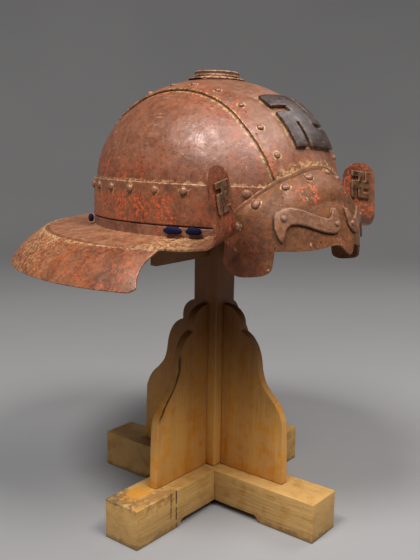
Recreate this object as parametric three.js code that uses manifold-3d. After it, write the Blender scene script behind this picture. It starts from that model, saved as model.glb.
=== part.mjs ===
// A plate-built samurai helmet (kabuto) resting on its plain wooden stand.
// Millimetres, +Z up, floor at Z = 0.  The helmet faces -Y, so its wearer's right is -X.
import * as THREE from 'three';
import { mergeVertices } from 'three/addons/utils/BufferGeometryUtils.js';
import Module from 'manifold-3d';

const wasm = await Module();
wasm.setup();

// How the helmet sits on the stand
const SEAM_HEIGHT = 300.1;
const SEAT_X = -3.1;
const SEAT_Y = 0.9;
const HELMET_YAW = -6.1;
const LEAN_LEFT = 2.35;
const LEAN_BACK = 0.63;

// Bowl: half an ellipsoid above the seam with the base band
const BOWL_HALF_WIDTH = 95.5;
const BOWL_HALF_LENGTH = 112.9;
const BOWL_RISE = 85.8;
const PLATE = 1.8;
const GAP = 0.5;
const LAP = PLATE + GAP;
const TOP_PLATE_HALF_WIDTH = 49.3;
const TOP_PLATE_NARROWING = 10.5;
const SIDE_PLATE_TUCK = 9;
const BAND_HEIGHT = 32.5;

// Neck guard: the upper plate ends at the crease, the lower one hangs from it
const CREASE = { halfWidth: 134.2, halfLength: 150.6, back: 10.2, z: -41.6, rise: 2.2 };
const SKIRT_EDGE = { halfWidth: 163.3, halfLength: 177.9, back: 14.9, z: -70, rise: 1.3 };
const GUARD_TILT = 0.052;
const COLLAR_TOP = -20;
const SHELF_Z = -37;
const SHELF_HIGHEST = -35.4;
const SKIRT_START = { left: 76, right: 61.3, hollow: 1.8, sweep: 0.9 };
const SKIRT_BULGE = 2.6;
const SKIRT_CORNER = { width: 0.014, cut: 0.1 };
const LIP = 7;

// Ears: the front ends of the upper plate, turned up
const EAR_WIDTH = 34.4;
const EAR_TOE = 18.4;
const EAR_BEND = 9;
const EAR_FOOT = { left: 100.6, right: 103.2, y: -103.4, outerZ: -29.9, innerZ: -25.6 };
const EAR_TOP = { left: 20.1, right: 14.9 };
const EAR_LEAN = { out: 0.12, back: 0.15 };

// Brow plate: how far it stands off the bowl
const BROW = { swell: 20, swellLength: 15, hem: 4, beak: 0.32, beakStart: 27, shoulder: 27, flush: 43 };

// Stand
const BEAM_WIDTH = 37;
const BEAM_HEIGHT = 35.5;
const BEAM_HALF = { side: 122.3, front: 124.5 };
const RECESS = { height: 5.6, foot: 70, top: 63.5 };
const POST_WIDTH = 26.6;
const POST_TOP = 378;
const BOARD = 8;
const RIB = 7;
const RIB_BOTTOM = 233.5;
const RIB_CLEAR = 4;
const RIB_REACH = { side: 82.5, front: 56 };

const LACQUERED_IRON = { color: 0x7a4a35, roughness: 0.5, metalness: 0.25 };
const DARK_LACQUER = { color: 0x2e201d, roughness: 0.35, metalness: 0.15 };
const COPPER = { color: 0x5e5a38, roughness: 0.6, metalness: 0.5 };
const SILK = { color: 0x171a3c, roughness: 0.9, metalness: 0 };
const CYPRESS = { color: 0xb98a50, roughness: 0.6, metalness: 0 };

const part = new THREE.Group();
const rad = THREE.MathUtils.degToRad;
const lerp = THREE.MathUtils.lerp;
const smooth = (x, low, high) => THREE.MathUtils.smoothstep(x, low, high);
const vec = (x, y, z) => new THREE.Vector3(x, y, z);
const range = (n, from, to) => Array.from({ length: n }, (_, i) => lerp(from, to, i / (n - 1)));

const seat = new THREE.Matrix4()
  .makeTranslation(SEAT_X, SEAT_Y, SEAM_HEIGHT)
  .multiply(new THREE.Matrix4().makeRotationZ(rad(HELMET_YAW)))
  .multiply(new THREE.Matrix4().makeRotationY(rad(LEAN_LEFT)))
  .multiply(new THREE.Matrix4().makeRotationX(rad(-LEAN_BACK)));

function add(name, geometry, finish) {
  const mesh = new THREE.Mesh(geometry, new THREE.MeshStandardMaterial({ ...finish }));
  mesh.name = name;
  part.add(mesh);
}

function addSeated(name, geometry, finish) {
  add(name, geometry.clone().applyMatrix4(seat), finish);
}

function mirrored(geometry) {
  const copy = (geometry.index ? geometry.toNonIndexed() : geometry.clone()).scale(-1, 1, 1);
  const p = copy.getAttribute('position');
  for (let i = 0; i < p.count; i += 3) {
    const a = vec().fromBufferAttribute(p, i);
    const b = vec().fromBufferAttribute(p, i + 1);
    p.setXYZ(i, b.x, b.y, b.z);
    p.setXYZ(i + 1, a.x, a.y, a.z);
  }
  return copy;
}

function soup(triangles) {
  const geometry = new THREE.BufferGeometry();
  const flat = triangles.flatMap((p) => [p.x, p.y, p.z]);
  geometry.setAttribute('position', new THREE.Float32BufferAttribute(flat, 3));
  return geometry;
}

// A curved sheet.  grid[i][j] lies on the face towards (d/di x d/dj); the other face is
// `thickness` behind it.  `keep(i, j)` says which cells are there.
function sheet(grid, thickness, keep = () => true) {
  const rows = grid.length;
  const cols = grid[0].length;
  const back = grid.map((line, i) => line.map((p, j) => {
    const along = grid[Math.min(i + 1, rows - 1)][j].clone().sub(grid[Math.max(i - 1, 0)][j]);
    const across = line[Math.min(j + 1, cols - 1)].clone().sub(line[Math.max(j - 1, 0)]);
    return p.clone().addScaledVector(along.cross(across).normalize(), -thickness);
  }));
  const there = (i, j) => i >= 0 && j >= 0 && i < rows - 1 && j < cols - 1 && keep(i, j);
  const out = [];
  const quad = (a, b, c, d) => out.push(a, b, c, a, c, d);
  const wall = (i, j, k, l) => quad(grid[i][j], back[i][j], back[k][l], grid[k][l]);
  for (let i = 0; i < rows - 1; i += 1) {
    for (let j = 0; j < cols - 1; j += 1) {
      if (there(i, j)) {
        quad(grid[i][j], grid[i + 1][j], grid[i + 1][j + 1], grid[i][j + 1]);
        quad(back[i][j], back[i][j + 1], back[i + 1][j + 1], back[i + 1][j]);
        if (!there(i, j - 1)) wall(i, j, i + 1, j);
        if (!there(i + 1, j)) wall(i + 1, j, i + 1, j + 1);
        if (!there(i, j + 1)) wall(i + 1, j + 1, i, j + 1);
        if (!there(i - 1, j)) wall(i, j + 1, i, j);
      }
    }
  }
  return soup(out);
}

function solid(geometry) {
  const bare = new THREE.BufferGeometry();
  const flat = geometry.index ? geometry.toNonIndexed() : geometry;
  bare.setAttribute('position', flat.getAttribute('position').clone());
  const merged = mergeVertices(bare, 1e-4);
  return new wasm.Manifold(new wasm.Mesh({
    numProp: 3,
    vertProperties: new Float32Array(merged.getAttribute('position').array),
    triVerts: new Uint32Array(merged.index.array),
  }));
}

function fused(geometries) {
  const whole = geometries.map(solid).reduce((sum, next) => sum.add(next));
  const mesh = whole.getMesh();
  const geometry = new THREE.BufferGeometry();
  geometry.setAttribute('position', new THREE.BufferAttribute(new Float32Array(mesh.vertProperties), 3));
  geometry.setIndex(new THREE.BufferAttribute(new Uint32Array(mesh.triVerts), 1));
  return geometry;
}

// A domed rivet head standing on `point`, its short shank sunk in the plate.
function rivet(point, normal, radius) {
  const height = radius * 0.75;
  const profile = [[0, -0.8], [radius, -0.8], [radius * 0.8, height * 0.65], [0, height]];
  const head = new THREE.LatheGeometry(profile.map(([r, y]) => new THREE.Vector2(r, y)), 6);
  const turn = new THREE.Quaternion().setFromUnitVectors(vec(0, 1, 0), normal);
  return head.applyQuaternion(turn).translate(point.x, point.y, point.z);
}

// Bowl surface grown outwards by `off`: `turn` runs from the front towards the wearer's left.
function bowl(turn, lift, off) {
  const t = rad(turn);
  const e = rad(lift);
  return vec(
    (BOWL_HALF_WIDTH + off) * Math.cos(e) * Math.sin(t),
    -(BOWL_HALF_LENGTH + off) * Math.cos(e) * Math.cos(t),
    (BOWL_RISE + off) * Math.sin(e),
  );
}

// The same surface by distance from the middle line and angle over the crown from the front.
function overCrown(x, angle, off) {
  const k = Math.sqrt(1 - (x / (BOWL_HALF_WIDTH + off)) ** 2);
  const a = rad(angle);
  return vec(x, -(BOWL_HALF_LENGTH + off) * k * Math.cos(a), (BOWL_RISE + off) * k * Math.sin(a));
}

function bowlNormal(p) {
  return vec(p.x / BOWL_HALF_WIDTH ** 2, p.y / BOWL_HALF_LENGTH ** 2, p.z / BOWL_RISE ** 2).normalize();
}

function topPlateHalfWidth(angle) {
  const low = Math.max(0, 1 - Math.min(angle, 180 - angle) / 40);
  return TOP_PLATE_HALF_WIDTH - TOP_PLATE_NARROWING * low ** 1.6;
}

const TOP_RIVET_ANGLES = [17, 33.6, 50.2, 66.9, 82.7, 96.6, 113, 128.5, 144, 160];

function topPlate() {
  const front = 3.5;
  const rear = 179.4;
  const grid = range(27, front, rear).map((angle) => {
    const half = topPlateHalfWidth(angle);
    return range(8, half, -half).map((x) => overCrown(x, angle, LAP));
  });
  const rivets = [];
  TOP_RIVET_ANGLES.forEach((angle) => {
    [-1, 1].forEach((side) => {
      const p = overCrown(side * (topPlateHalfWidth(angle) - 8.7), angle, LAP);
      rivets.push(rivet(p, bowlNormal(p), 2.6));
    });
  });
  return fused([sheet(grid, PLATE), ...rivets]);
}

// Highest lift of a side plate: it runs SIDE_PLATE_TUCK in under the top plate.
function sidePlateTop(turn) {
  let low = 0;
  let high = 89;
  for (let step = 0; step < 30; step += 1) {
    const lift = (low + high) / 2;
    const p = bowl(turn, lift, 0);
    const angle = THREE.MathUtils.radToDeg(Math.atan2(p.z / BOWL_RISE, -p.y / BOWL_HALF_LENGTH));
    if (p.x > topPlateHalfWidth(angle) - SIDE_PLATE_TUCK) low = lift;
    else high = lift;
  }
  return low;
}

function leftSidePlate() {
  const grid = range(21, 21, 159).map((turn) => {
    const top = sidePlateTop(turn);
    const foot = bowl(turn, 0, 0).setZ(-8);
    return [foot, ...range(7, 0, top).map((lift) => bowl(turn, lift, 0))];
  });
  return sheet(grid, PLATE);
}

// A closed ring round the bowl from an outline of [growth, z] pairs.
function ring(outline, steps) {
  const out = [];
  const at = (i, [off, z]) => bowl((i % steps) * (360 / steps), 0, off).setZ(z);
  for (let i = 0; i < steps; i += 1) {
    outline.forEach((a, j) => {
      const b = outline[(j + 1) % outline.length];
      out.push(at(i, a), at(i + 1, a), at(i + 1, b), at(i, a), at(i + 1, b), at(i, b));
    });
  }
  return soup(out);
}

function baseBand() {
  const outline = [[GAP, -0.1], [GAP, -BAND_HEIGHT], [LAP, -BAND_HEIGHT], [LAP, -0.1]];
  const rivets = [];
  range(23, 36.5, 323.5).forEach((turn) => {
    const p = bowl(turn, 0, LAP);
    rivets.push(rivet(p.clone().setZ(-6), bowlNormal(p), 3.3));
  });
  return fused([ring(outline, 52), ...rivets]);
}

// The wearer's left temple tab is this much shorter than the right one.
const LEFT_TAB_TRIM = 6;

// Brow plate edges, wearer's left half: turn from the front, upper edge z, lower edge z.
const BROW_EDGE = [
  { turn: 0, high: 18, low: -49 },
  { turn: 1.6, high: 17.8, low: -46.8 },
  { turn: 3.2, high: 17.5, low: -42.8 },
  { turn: 4.6, high: 17.2, low: -41.4 },
  { turn: 8, high: 16, low: -42.5 },
  { turn: 12, high: 14, low: -44.8 },
  { turn: 16, high: 11.2, low: -46 },
  { turn: 20, high: 8.7, low: -46.6 },
  { turn: 24, high: 5.7, low: -46.7 },
  { turn: 27, high: 2.3, low: -46.7 },
  { turn: 27.9, high: 1.2, low: -60 },
  { turn: 28.9, high: 0, low: -63 },
  { turn: 31, high: -2.7, low: -65.5 },
  { turn: 34.5, high: -7.5, low: -67.4 },
  { turn: 38, high: -12.7, low: -68.4 },
  { turn: 41, high: -18, low: -67.2 },
  { turn: 43.2, high: -24.5, low: -64 },
  { turn: 44.9, high: -36, low: -58 },
];

function browEdge(turn, key) {
  const t = Math.abs(turn);
  const i = Math.max(1, BROW_EDGE.findIndex((row) => row.turn >= t));
  const a = BROW_EDGE[i - 1];
  const b = BROW_EDGE[i];
  return lerp(a[key], b[key], (t - a.turn) / (b.turn - a.turn));
}

// Rivets along the upper hem and down both temples, spaced by eye.
const BROW_RIVETS = [
  { turn: -40, z: -30.5, radius: 3 },
  { turn: -33, z: -13, radius: 3.8 },
  { turn: -21, z: 0.4, radius: 3.2 },
  { turn: -9.5, z: 8.3, radius: 3.4 },
  { turn: 3.8, z: 12.2, radius: 3 },
  { turn: 15, z: 7, radius: 3 },
  { turn: 26, z: -2, radius: 3 },
  { turn: 34, z: -14.5, radius: 3.4 },
  { turn: 40, z: -30.5, radius: 3 },
];

// The brow plate lies flush along its upper hem and rear ends, then swells forward.
function brow(turn, z, off) {
  const t = Math.abs(turn);
  const depth = browEdge(turn, 'high') - z;
  const shoulder = 1 - smooth(t, BROW.shoulder, BROW.flush);
  const nose = t < 28 ? Math.cos(rad((90 * t) / 28)) ** 2 : 0;
  const swell = BROW.swell * (1 - Math.exp(-Math.max(0, depth - BROW.hem) / BROW.swellLength));
  const push = swell * shoulder + BROW.beak * Math.max(0, depth - BROW.beakStart) * nose;
  const lift = z > 0 ? THREE.MathUtils.radToDeg(Math.asin(z / BOWL_RISE)) : 0;
  const p = bowl(turn, lift, 0).setZ(z);
  const out = bowlNormal(p.clone().setZ(0));
  return p.addScaledVector(out, 2 * LAP + push + off);
}

function browNormal(turn, z) {
  const across = brow(turn + 0.5, z, 0).sub(brow(turn - 0.5, z, 0));
  const up = brow(turn, z + 0.5, 0).sub(brow(turn, z - 0.5, 0));
  return across.cross(up).normalize();
}

function browPlate() {
  const half = BROW_EDGE.map((row) => row.turn);
  const turns = [...half.slice(1).reverse().map((t) => -t), ...half];
  const grid = turns.map((turn) => {
    const trim = turn > 27.5 ? LEFT_TAB_TRIM : 0;
    const low = browEdge(turn, 'low') + trim;
    const high = browEdge(turn, 'high');
    return range(9, 0, 1).map((v) => brow(turn, lerp(low, high, v), 0));
  });
  const rivets = BROW_RIVETS.map(({ turn, z, radius }) => (
    rivet(brow(turn, z, 0), browNormal(turn, z), radius)
  ));
  return fused([sheet(grid, PLATE), ...rivets]);
}

// Eyebrow outline on the brow plate, wearer's left: turn, lower edge z, upper edge z.
const EYEBROW = [
  { turn: 2.4, low: -27.5, high: -20 },
  { turn: 3, low: -30, high: -14.6 },
  { turn: 4.2, low: -32.3, high: -14.8 },
  { turn: 5.1, low: -33.1, high: -18 },
  { turn: 6.1, low: -33.4, high: -21.4 },
  { turn: 7.5, low: -33.1, high: -22.4 },
  { turn: 9.8, low: -32.2, high: -21.2 },
  { turn: 12.4, low: -30.6, high: -19.6 },
  { turn: 15, low: -28.6, high: -17.6 },
  { turn: 17.5, low: -27.4, high: -15.9 },
  { turn: 19.6, low: -27, high: -15 },
  { turn: 21.2, low: -27.3, high: -14.6 },
  { turn: 22.6, low: -29.2, high: -14.7 },
  { turn: 23.6, low: -32.4, high: -15.1 },
  { turn: 24.6, low: -40.6, high: -15.7 },
  { turn: 25.6, low: -39, high: -16.8 },
  { turn: 26.7, low: -35, high: -18.8 },
  { turn: 27.6, low: -29.5, high: -22.4 },
];

function leftEyebrow() {
  const thickness = 1.8;
  const face = GAP + thickness;
  const grid = EYEBROW.map(({ turn, low, high }) => (
    range(5, low, high).map((z) => brow(turn, z, 0).addScaledVector(browNormal(turn, z), face))
  ));
  const rivets = [[4.4, -26.5], [24.3, -22.8]].map(([turn, z]) => {
    const out = browNormal(turn, z);
    return rivet(brow(turn, z, 0).addScaledVector(out, face), out, 2.5);
  });
  return fused([sheet(grid, thickness), ...rivets]);
}

// Left-facing manji as a 5 x 5 pattern, rows from the top, seen from the front.
const MANJI = ['### #', '  # #', '#####', '# #  ', '# ###'];

// `columns` and `rows` are the six edges of the pattern; `at(column, row)` places them.
function manji(columns, rows, splits, thickness, at) {
  const fine = (edges) => edges.slice(1).flatMap((edge, i) => (
    range(splits + 1, edges[i], edge).slice(0, splits)
  )).concat(edges.at(-1));
  const grid = fine(columns).map((c) => fine(rows).map((r) => at(c, r)));
  const keep = (i, j) => MANJI[Math.floor(j / splits)][Math.floor(i / splits)] === '#';
  return sheet(grid, thickness, keep);
}

function frontCrest() {
  const thickness = 3;
  const columns = [-22.6, -10.8, -7.2, 10.6, 15.4, 27];
  const rows = [52.6, 44.4, 40.6, 33.8, 31.4, 20.5];
  const slant = 0.12;
  const place = (x, angle) => overCrown(x + slant * (rows[2] - angle), angle, LAP + GAP + thickness);
  const turned = manji(columns, rows, 2, -thickness, place);
  return outwards(turned);
}

// Turns a closed soup right way out.
function outwards(geometry) {
  const p = geometry.getAttribute('position');
  let volume = 0;
  for (let i = 0; i < p.count; i += 3) {
    const [a, b, c] = [0, 1, 2].map((k) => vec().fromBufferAttribute(p, i + k));
    volume += a.dot(b.cross(c));
  }
  if (volume > 0) return geometry;
  return mirrored(geometry).scale(-1, 1, 1);
}

// Both crown pieces follow the bowl's curve, which drops `fall(r)` at radius r.
const CROWN_TOP = BOWL_RISE + LAP;
const fall = (r) => (0.5 * BOWL_RISE * r ** 2) / BOWL_HALF_LENGTH ** 2;

function crownFlange() {
  const thickness = 1.3;
  const under = [13, 17, 21, 25].map((r) => [r, CROWN_TOP + GAP - fall(r)]);
  const over = [25, 21, 17, 13].map((r) => [r, CROWN_TOP + GAP + thickness - fall(r)]);
  return lathe([...under, ...over], 26);
}

function crownRing() {
  const low = CROWN_TOP + 2 * GAP + 1.3 - fall(16.2);
  const high = CROWN_TOP + 5.6;
  const profile = [[16.2, low], [19, low], [19, high - 1.6], [19.8, high - 1], [19.8, high], [16.2, high]];
  return lathe(profile, 26);
}

function lathe(profile, steps) {
  const points = [...profile, profile[0]].map(([r, z]) => new THREE.Vector2(r, z));
  return outwards(new THREE.LatheGeometry(points, steps).toNonIndexed().rotateX(Math.PI / 2));
}

function guardLine({ halfWidth, halfLength, back, z, rise }, turn) {
  const t = rad(turn);
  const lift = (rise * (1 - Math.cos(t))) / 2;
  return vec(halfWidth * Math.sin(t), back - halfLength * Math.cos(t), z + lift);
}

// The guard hangs a little lower on the wearer's right than on the left.
function hung(p) {
  return p.setZ(p.z + p.x * GUARD_TILT);
}

function shelfInnerZ(x) {
  return Math.min(SHELF_Z + x * GUARD_TILT, SHELF_HIGHEST);
}

function collar() {
  const grid = range(33, 52, 308).map((turn) => (
    [0, 1].map((end) => {
      const p = bowl(turn, 0, 0);
      return p.setZ(end ? COLLAR_TOP : shelfInnerZ(p.x) - PLATE / 2);
    })
  ));
  return sheet(grid, PLATE);
}

const ACROSS = [0, 0.12, 0.3, 0.5, 0.7, 0.87, 1];

// One line across the shelf: inner edge, crease, then the lip turned down behind the skirt.
// Ahead of the skirt there is no lip, and its edge draws in to pass behind the skirt's end.
function shelfLine(turn) {
  const fromFront = Math.min(turn, 360 - turn);
  const inner = bowl(turn, 0, -0.9);
  inner.setZ(shelfInnerZ(inner.x));
  const edge = hung(guardLine(CREASE, turn));
  const below = hung(guardLine(SKIRT_EDGE, turn)).sub(edge).setLength(LIP);
  edge.addScaledVector(bowlNormal(inner.clone().setZ(0)), -LAP * smooth(fromFront, 57.5, 60.5));
  const lipped = smooth(fromFront, 61.5, 66);
  const outer = edge.clone().addScaledVector(below, lipped);
  const crease = inner.clone().lerp(edge, lerp(ACROSS[5], 0.985, lipped));
  return ACROSS.map((c, j) => {
    if (j === 6) return outer;
    return inner.clone().lerp(crease, c / ACROSS[5]);
  });
}

// The flat upright of one ear (side +1 is the wearer's left): its foot line and directions.
function earFrame(side) {
  const outward = vec(side * Math.cos(rad(EAR_TOE)), -Math.sin(rad(EAR_TOE)), 0);
  const reach = side > 0 ? EAR_FOOT.left : EAR_FOOT.right;
  const foot = (c) => hung(
    vec(side * reach, EAR_FOOT.y, lerp(EAR_FOOT.innerZ, EAR_FOOT.outerZ, c))
      .addScaledVector(outward, (c - 1) * EAR_WIDTH),
  );
  const up = vec(side * EAR_LEAN.out, EAR_LEAN.back, 1);
  const across = foot(1).sub(foot(0)).normalize();
  const front = across.clone().cross(up).normalize().multiplyScalar(side);
  const level = vec(side * -outward.y, side * outward.x, 0).negate();
  return { foot, up, across, front, level };
}

// One ear from its rounded top down to the bend: lines across, inner edge first.
function earLines(side) {
  const { foot, up, level } = earFrame(side);
  const peak = side > 0 ? EAR_TOP.left : EAR_TOP.right;
  const cap = EAR_WIDTH * 0.46;
  const upright = [1, 0.9, 0.76, 0.55, 0.3].map((f) => ACROSS.map((c) => {
    const base = foot(c);
    const round = (1 - Math.abs(2 * c - 1) ** 2.4) ** (1 / 2.4);
    const top = peak - cap * (1 - round);
    return base.addScaledVector(up, f * (top - base.z));
  }));
  const bend = [90, 67.5, 45, 22.5, 0].map((angle) => ACROSS.map((c) => {
    const a = rad(angle);
    const p = foot(c).addScaledVector(level, EAR_BEND * (Math.sin(a) - 1));
    return p.setZ(p.z - EAR_BEND * Math.cos(a));
  }));
  return [...upright, ...bend];
}

function neckGuardUpper() {
  const bare = [54.5, 57.5, 59, 60.5, 61.5, 63.8, 66];
  const shelf = [...bare, ...range(19, 72, 288), ...bare.map((turn) => 360 - turn).reverse()];
  const strip = [...earLines(1), ...shelf.map(shelfLine), ...earLines(-1).reverse()];
  return fused([outwards(sheet(strip, -PLATE)), collar()]);
}

// The skirt's right end is hollowed a little, and both its lower corners are rounded.
function neckGuardLower() {
  const shares = [0, 0.007, ...range(27, 0.014, 0.986), 0.993, 1];
  const grid = shares.map((share) => {
    const corner = Math.max(0, 1 - Math.min(share, 1 - share) / SKIRT_CORNER.width);
    return [0.04, 0.25, 0.5, 0.75, 0.94, 1].map((row) => {
      const v = row * (1 - SKIRT_CORNER.cut * corner ** 2);
      const swept = SKIRT_START.hollow * Math.sin(Math.PI * v) + SKIRT_START.sweep * v;
      const turn = lerp(SKIRT_START.left, 360 - SKIRT_START.right - swept, share);
      const out = bowlNormal(bowl(turn, 0, 0)).setZ(0.9).normalize();
      return hung(guardLine(CREASE, turn))
        .lerp(hung(guardLine(SKIRT_EDGE, turn)), v)
        .addScaledVector(out, SKIRT_BULGE * Math.sin(Math.PI * v));
    });
  });
  return sheet(grid, PLATE);
}

// Small manji on the front face of one ear.
function earCrest(side) {
  const { foot, up, across, front } = earFrame(side);
  const thickness = 2;
  const middle = foot(0.5).addScaledVector(up, 24.5);
  const place = (x, z) => middle.clone()
    .addScaledVector(across, side * x)
    .addScaledVector(up, z)
    .addScaledVector(front, PLATE + GAP + thickness);
  const columns = [-10, -4.8, -2.7, 2.7, 4.8, 10];
  const rows = [11.4, 6.7, 3.3, -3.3, -6.7, -11.4];
  return outwards(manji(columns, rows, 1, -thickness, place));
}

// Lace ends, from the front back: turn, length and height above the shelf.
const LACES = [
  { turn: 57.3, length: 13.5, z: 5.8 },
  { turn: 66, length: 16.5, z: 5.8 },
  { turn: 127, length: 9, z: 5.4 },
];

// A lace end: a short loop of cord lying against the collar, just under the band.
function lace(side, { turn, length, z }) {
  const depth = 2.4;
  const p = bowl(side * turn, 0, LAP + GAP + depth);
  p.setZ(shelfInnerZ(p.x) + z);
  const out = bowlNormal(p.clone().setZ(0));
  const knot = new THREE.SphereGeometry(1, 8, 5).toNonIndexed().scale(depth, length / 2, 3.4);
  return knot.rotateZ(Math.atan2(out.y, out.x)).translate(p.x, p.y, p.z);
}

// A flat board cut to `outline`, [reach, z] pairs, standing out from the post.
function board(outline, thickness, heading) {
  const shape = new THREE.Shape(outline.map(([x, z]) => new THREE.Vector2(x, z)));
  return new THREE.ExtrudeGeometry(shape, { depth: thickness, bevelEnabled: false })
    .translate(0, 0, -thickness / 2)
    .rotateX(Math.PI / 2)
    .rotateZ(rad(heading));
}

const BRACE = [
  [13.6, 35.8], [83, 35.8], [81.3, 86], [79.3, 97], [73.5, 107.5], [64.5, 116.3], [58, 124.3],
  [54.8, 133.5], [53.3, 143], [51.6, 150], [48.4, 157.3], [43.6, 163.4], [38.4, 167.2],
  [34.4, 168.4], [34.3, 174.5], [32.6, 180.6], [28, 186], [21.3, 189.4], [13.6, 190.4],
];

// A top rib reaches from the post to just under the bowl and follows its curve.
function rib(reach, bowlHalf) {
  const half = bowlHalf - PLATE - RIB_CLEAR;
  const rise = POST_TOP - SEAM_HEIGHT;
  const root = POST_WIDTH / 2 + GAP;
  const crown = range(10, reach, root).map((x) => (
    [x, SEAM_HEIGHT + rise * Math.sqrt(1 - (x / half) ** 2)]
  ));
  return [[root, RIB_BOTTOM], [reach, RIB_BOTTOM], ...crown];
}

// A foot beam on edge, recessed underneath; two of them halve into each other.
function beam(half, notchHigh, heading) {
  const meet = BEAM_HEIGHT / 2 + (notchHigh ? -GAP : GAP) / 2;
  const cut = BEAM_WIDTH / 2 + GAP / 2;
  const end = [[RECESS.top, RECESS.height], [RECESS.foot, 0], [half, 0], [half, BEAM_HEIGHT]];
  const farEnd = end.map(([x, z]) => [-x, z]).reverse();
  const open = notchHigh ? BEAM_HEIGHT : RECESS.height;
  const notch = [[cut, open], [cut, meet], [-cut, meet], [-cut, open]];
  const outline = notchHigh
    ? [...end, ...notch, ...farEnd]
    : [...end, ...farEnd, ...notch.reverse()];
  return board(outline, BEAM_WIDTH, heading);
}

// Helmet
const sidePlate = leftSidePlate();
const eyebrow = leftEyebrow();
addSeated('bowl_side_plate_left', outwards(sidePlate), LACQUERED_IRON);
addSeated('bowl_side_plate_right', outwards(mirrored(sidePlate)), LACQUERED_IRON);
addSeated('bowl_top_plate', topPlate(), LACQUERED_IRON);
addSeated('base_band', baseBand(), LACQUERED_IRON);
addSeated('brow_plate', browPlate(), LACQUERED_IRON);
addSeated('eyebrow_left', eyebrow, LACQUERED_IRON);
addSeated('eyebrow_right', mirrored(eyebrow), LACQUERED_IRON);
addSeated('crown_flange', crownFlange(), LACQUERED_IRON);
addSeated('crown_ring', crownRing(), LACQUERED_IRON);
addSeated('front_crest', frontCrest(), DARK_LACQUER);
addSeated('neck_guard_upper', neckGuardUpper(), LACQUERED_IRON);
addSeated('neck_guard_lower', outwards(neckGuardLower()), LACQUERED_IRON);
addSeated('ear_crest_left', earCrest(1), COPPER);
addSeated('ear_crest_right', earCrest(-1), COPPER);
LACES.forEach((row, i) => {
  addSeated(`lace_left_${i + 1}`, lace(1, row), SILK);
  addSeated(`lace_right_${i + 1}`, lace(-1, row), SILK);
});

// Stand
add('stand_foot_beam_side', beam(BEAM_HALF.side, true, 0), CYPRESS);
add('stand_foot_beam_front', beam(BEAM_HALF.front, false, 90), CYPRESS);
const post = new THREE.BoxGeometry(POST_WIDTH, POST_WIDTH, POST_TOP - BEAM_HEIGHT - GAP);
add('stand_post', post.translate(0, 0, (POST_TOP + BEAM_HEIGHT + GAP) / 2), CYPRESS);
[['left', 0], ['back', 90], ['right', 180], ['front', 270]].forEach(([name, heading]) => {
  const sideways = heading % 180 === 0;
  const reach = sideways ? RIB_REACH.side : RIB_REACH.front;
  const half = sideways ? BOWL_HALF_WIDTH : BOWL_HALF_LENGTH;
  add(`stand_brace_${name}`, board(BRACE, BOARD, heading), CYPRESS);
  add(`stand_top_rib_${name}`, board(rib(reach, half), RIB, heading), CYPRESS);
});

// The origin is on the floor under the middle of the whole outline
const middle = new THREE.Box3().setFromObject(part).getCenter(vec());
part.children.forEach((mesh) => mesh.geometry.translate(-middle.x, -middle.y, 0));

export default part;
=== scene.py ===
"""A plate-built samurai helmet on its wooden stand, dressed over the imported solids."""

import math

import bpy
import numpy as np
from mathutils import Matrix, Vector


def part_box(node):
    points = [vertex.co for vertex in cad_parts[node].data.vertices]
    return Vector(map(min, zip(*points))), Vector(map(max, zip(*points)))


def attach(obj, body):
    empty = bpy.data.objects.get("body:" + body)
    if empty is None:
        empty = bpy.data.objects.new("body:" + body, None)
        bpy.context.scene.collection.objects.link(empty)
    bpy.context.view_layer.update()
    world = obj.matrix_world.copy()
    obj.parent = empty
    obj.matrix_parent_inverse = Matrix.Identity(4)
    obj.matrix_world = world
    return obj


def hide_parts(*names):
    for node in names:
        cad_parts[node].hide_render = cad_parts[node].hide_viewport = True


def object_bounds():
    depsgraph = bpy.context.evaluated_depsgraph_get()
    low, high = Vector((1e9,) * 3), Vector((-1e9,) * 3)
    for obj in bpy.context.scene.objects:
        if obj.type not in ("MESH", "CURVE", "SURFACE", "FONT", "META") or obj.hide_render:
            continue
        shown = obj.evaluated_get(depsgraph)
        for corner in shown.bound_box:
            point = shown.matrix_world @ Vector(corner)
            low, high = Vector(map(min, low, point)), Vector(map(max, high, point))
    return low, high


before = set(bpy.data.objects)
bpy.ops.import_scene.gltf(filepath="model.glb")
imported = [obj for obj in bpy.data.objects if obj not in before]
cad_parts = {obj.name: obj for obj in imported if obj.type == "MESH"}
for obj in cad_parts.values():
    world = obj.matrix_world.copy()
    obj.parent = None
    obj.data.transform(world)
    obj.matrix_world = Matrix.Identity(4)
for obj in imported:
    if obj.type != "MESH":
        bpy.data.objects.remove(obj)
cad_low, cad_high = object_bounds()

# ---------------------------------------------------------------- camera
# A long lens at the height of the bowl, off the wearer's right front.
# Its place is given from the stand's post, which stands off the origin.
post_low, post_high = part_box("stand_post")
POST = np.array([(post_low.x + post_high.x) / 2, (post_low.y + post_high.y) / 2, 0])

camera = bpy.data.objects.new("camera", bpy.data.cameras.new("camera"))
bpy.context.scene.collection.objects.link(camera)
camera.data.lens = 49.2
camera.data.sensor_width = 36
camera.data.clip_start = 0.01
ahead = Vector((0.7691, 0.6092, -0.1936)).normalized()
level = Vector((0.6208, -0.784, 0)).normalized()
below = ahead.cross(level)
ROLL = math.radians(-0.89)
across = math.cos(ROLL) * level + math.sin(ROLL) * below
downwards = math.cos(ROLL) * below - math.sin(ROLL) * level
turn = Matrix((across, -downwards, -ahead)).transposed()
where = Vector(POST) + Vector((-0.5415, -0.4236, 0.3454))
camera.matrix_world = Matrix.Translation(where) @ turn.to_4x4()
bpy.context.scene.camera = camera

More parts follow.
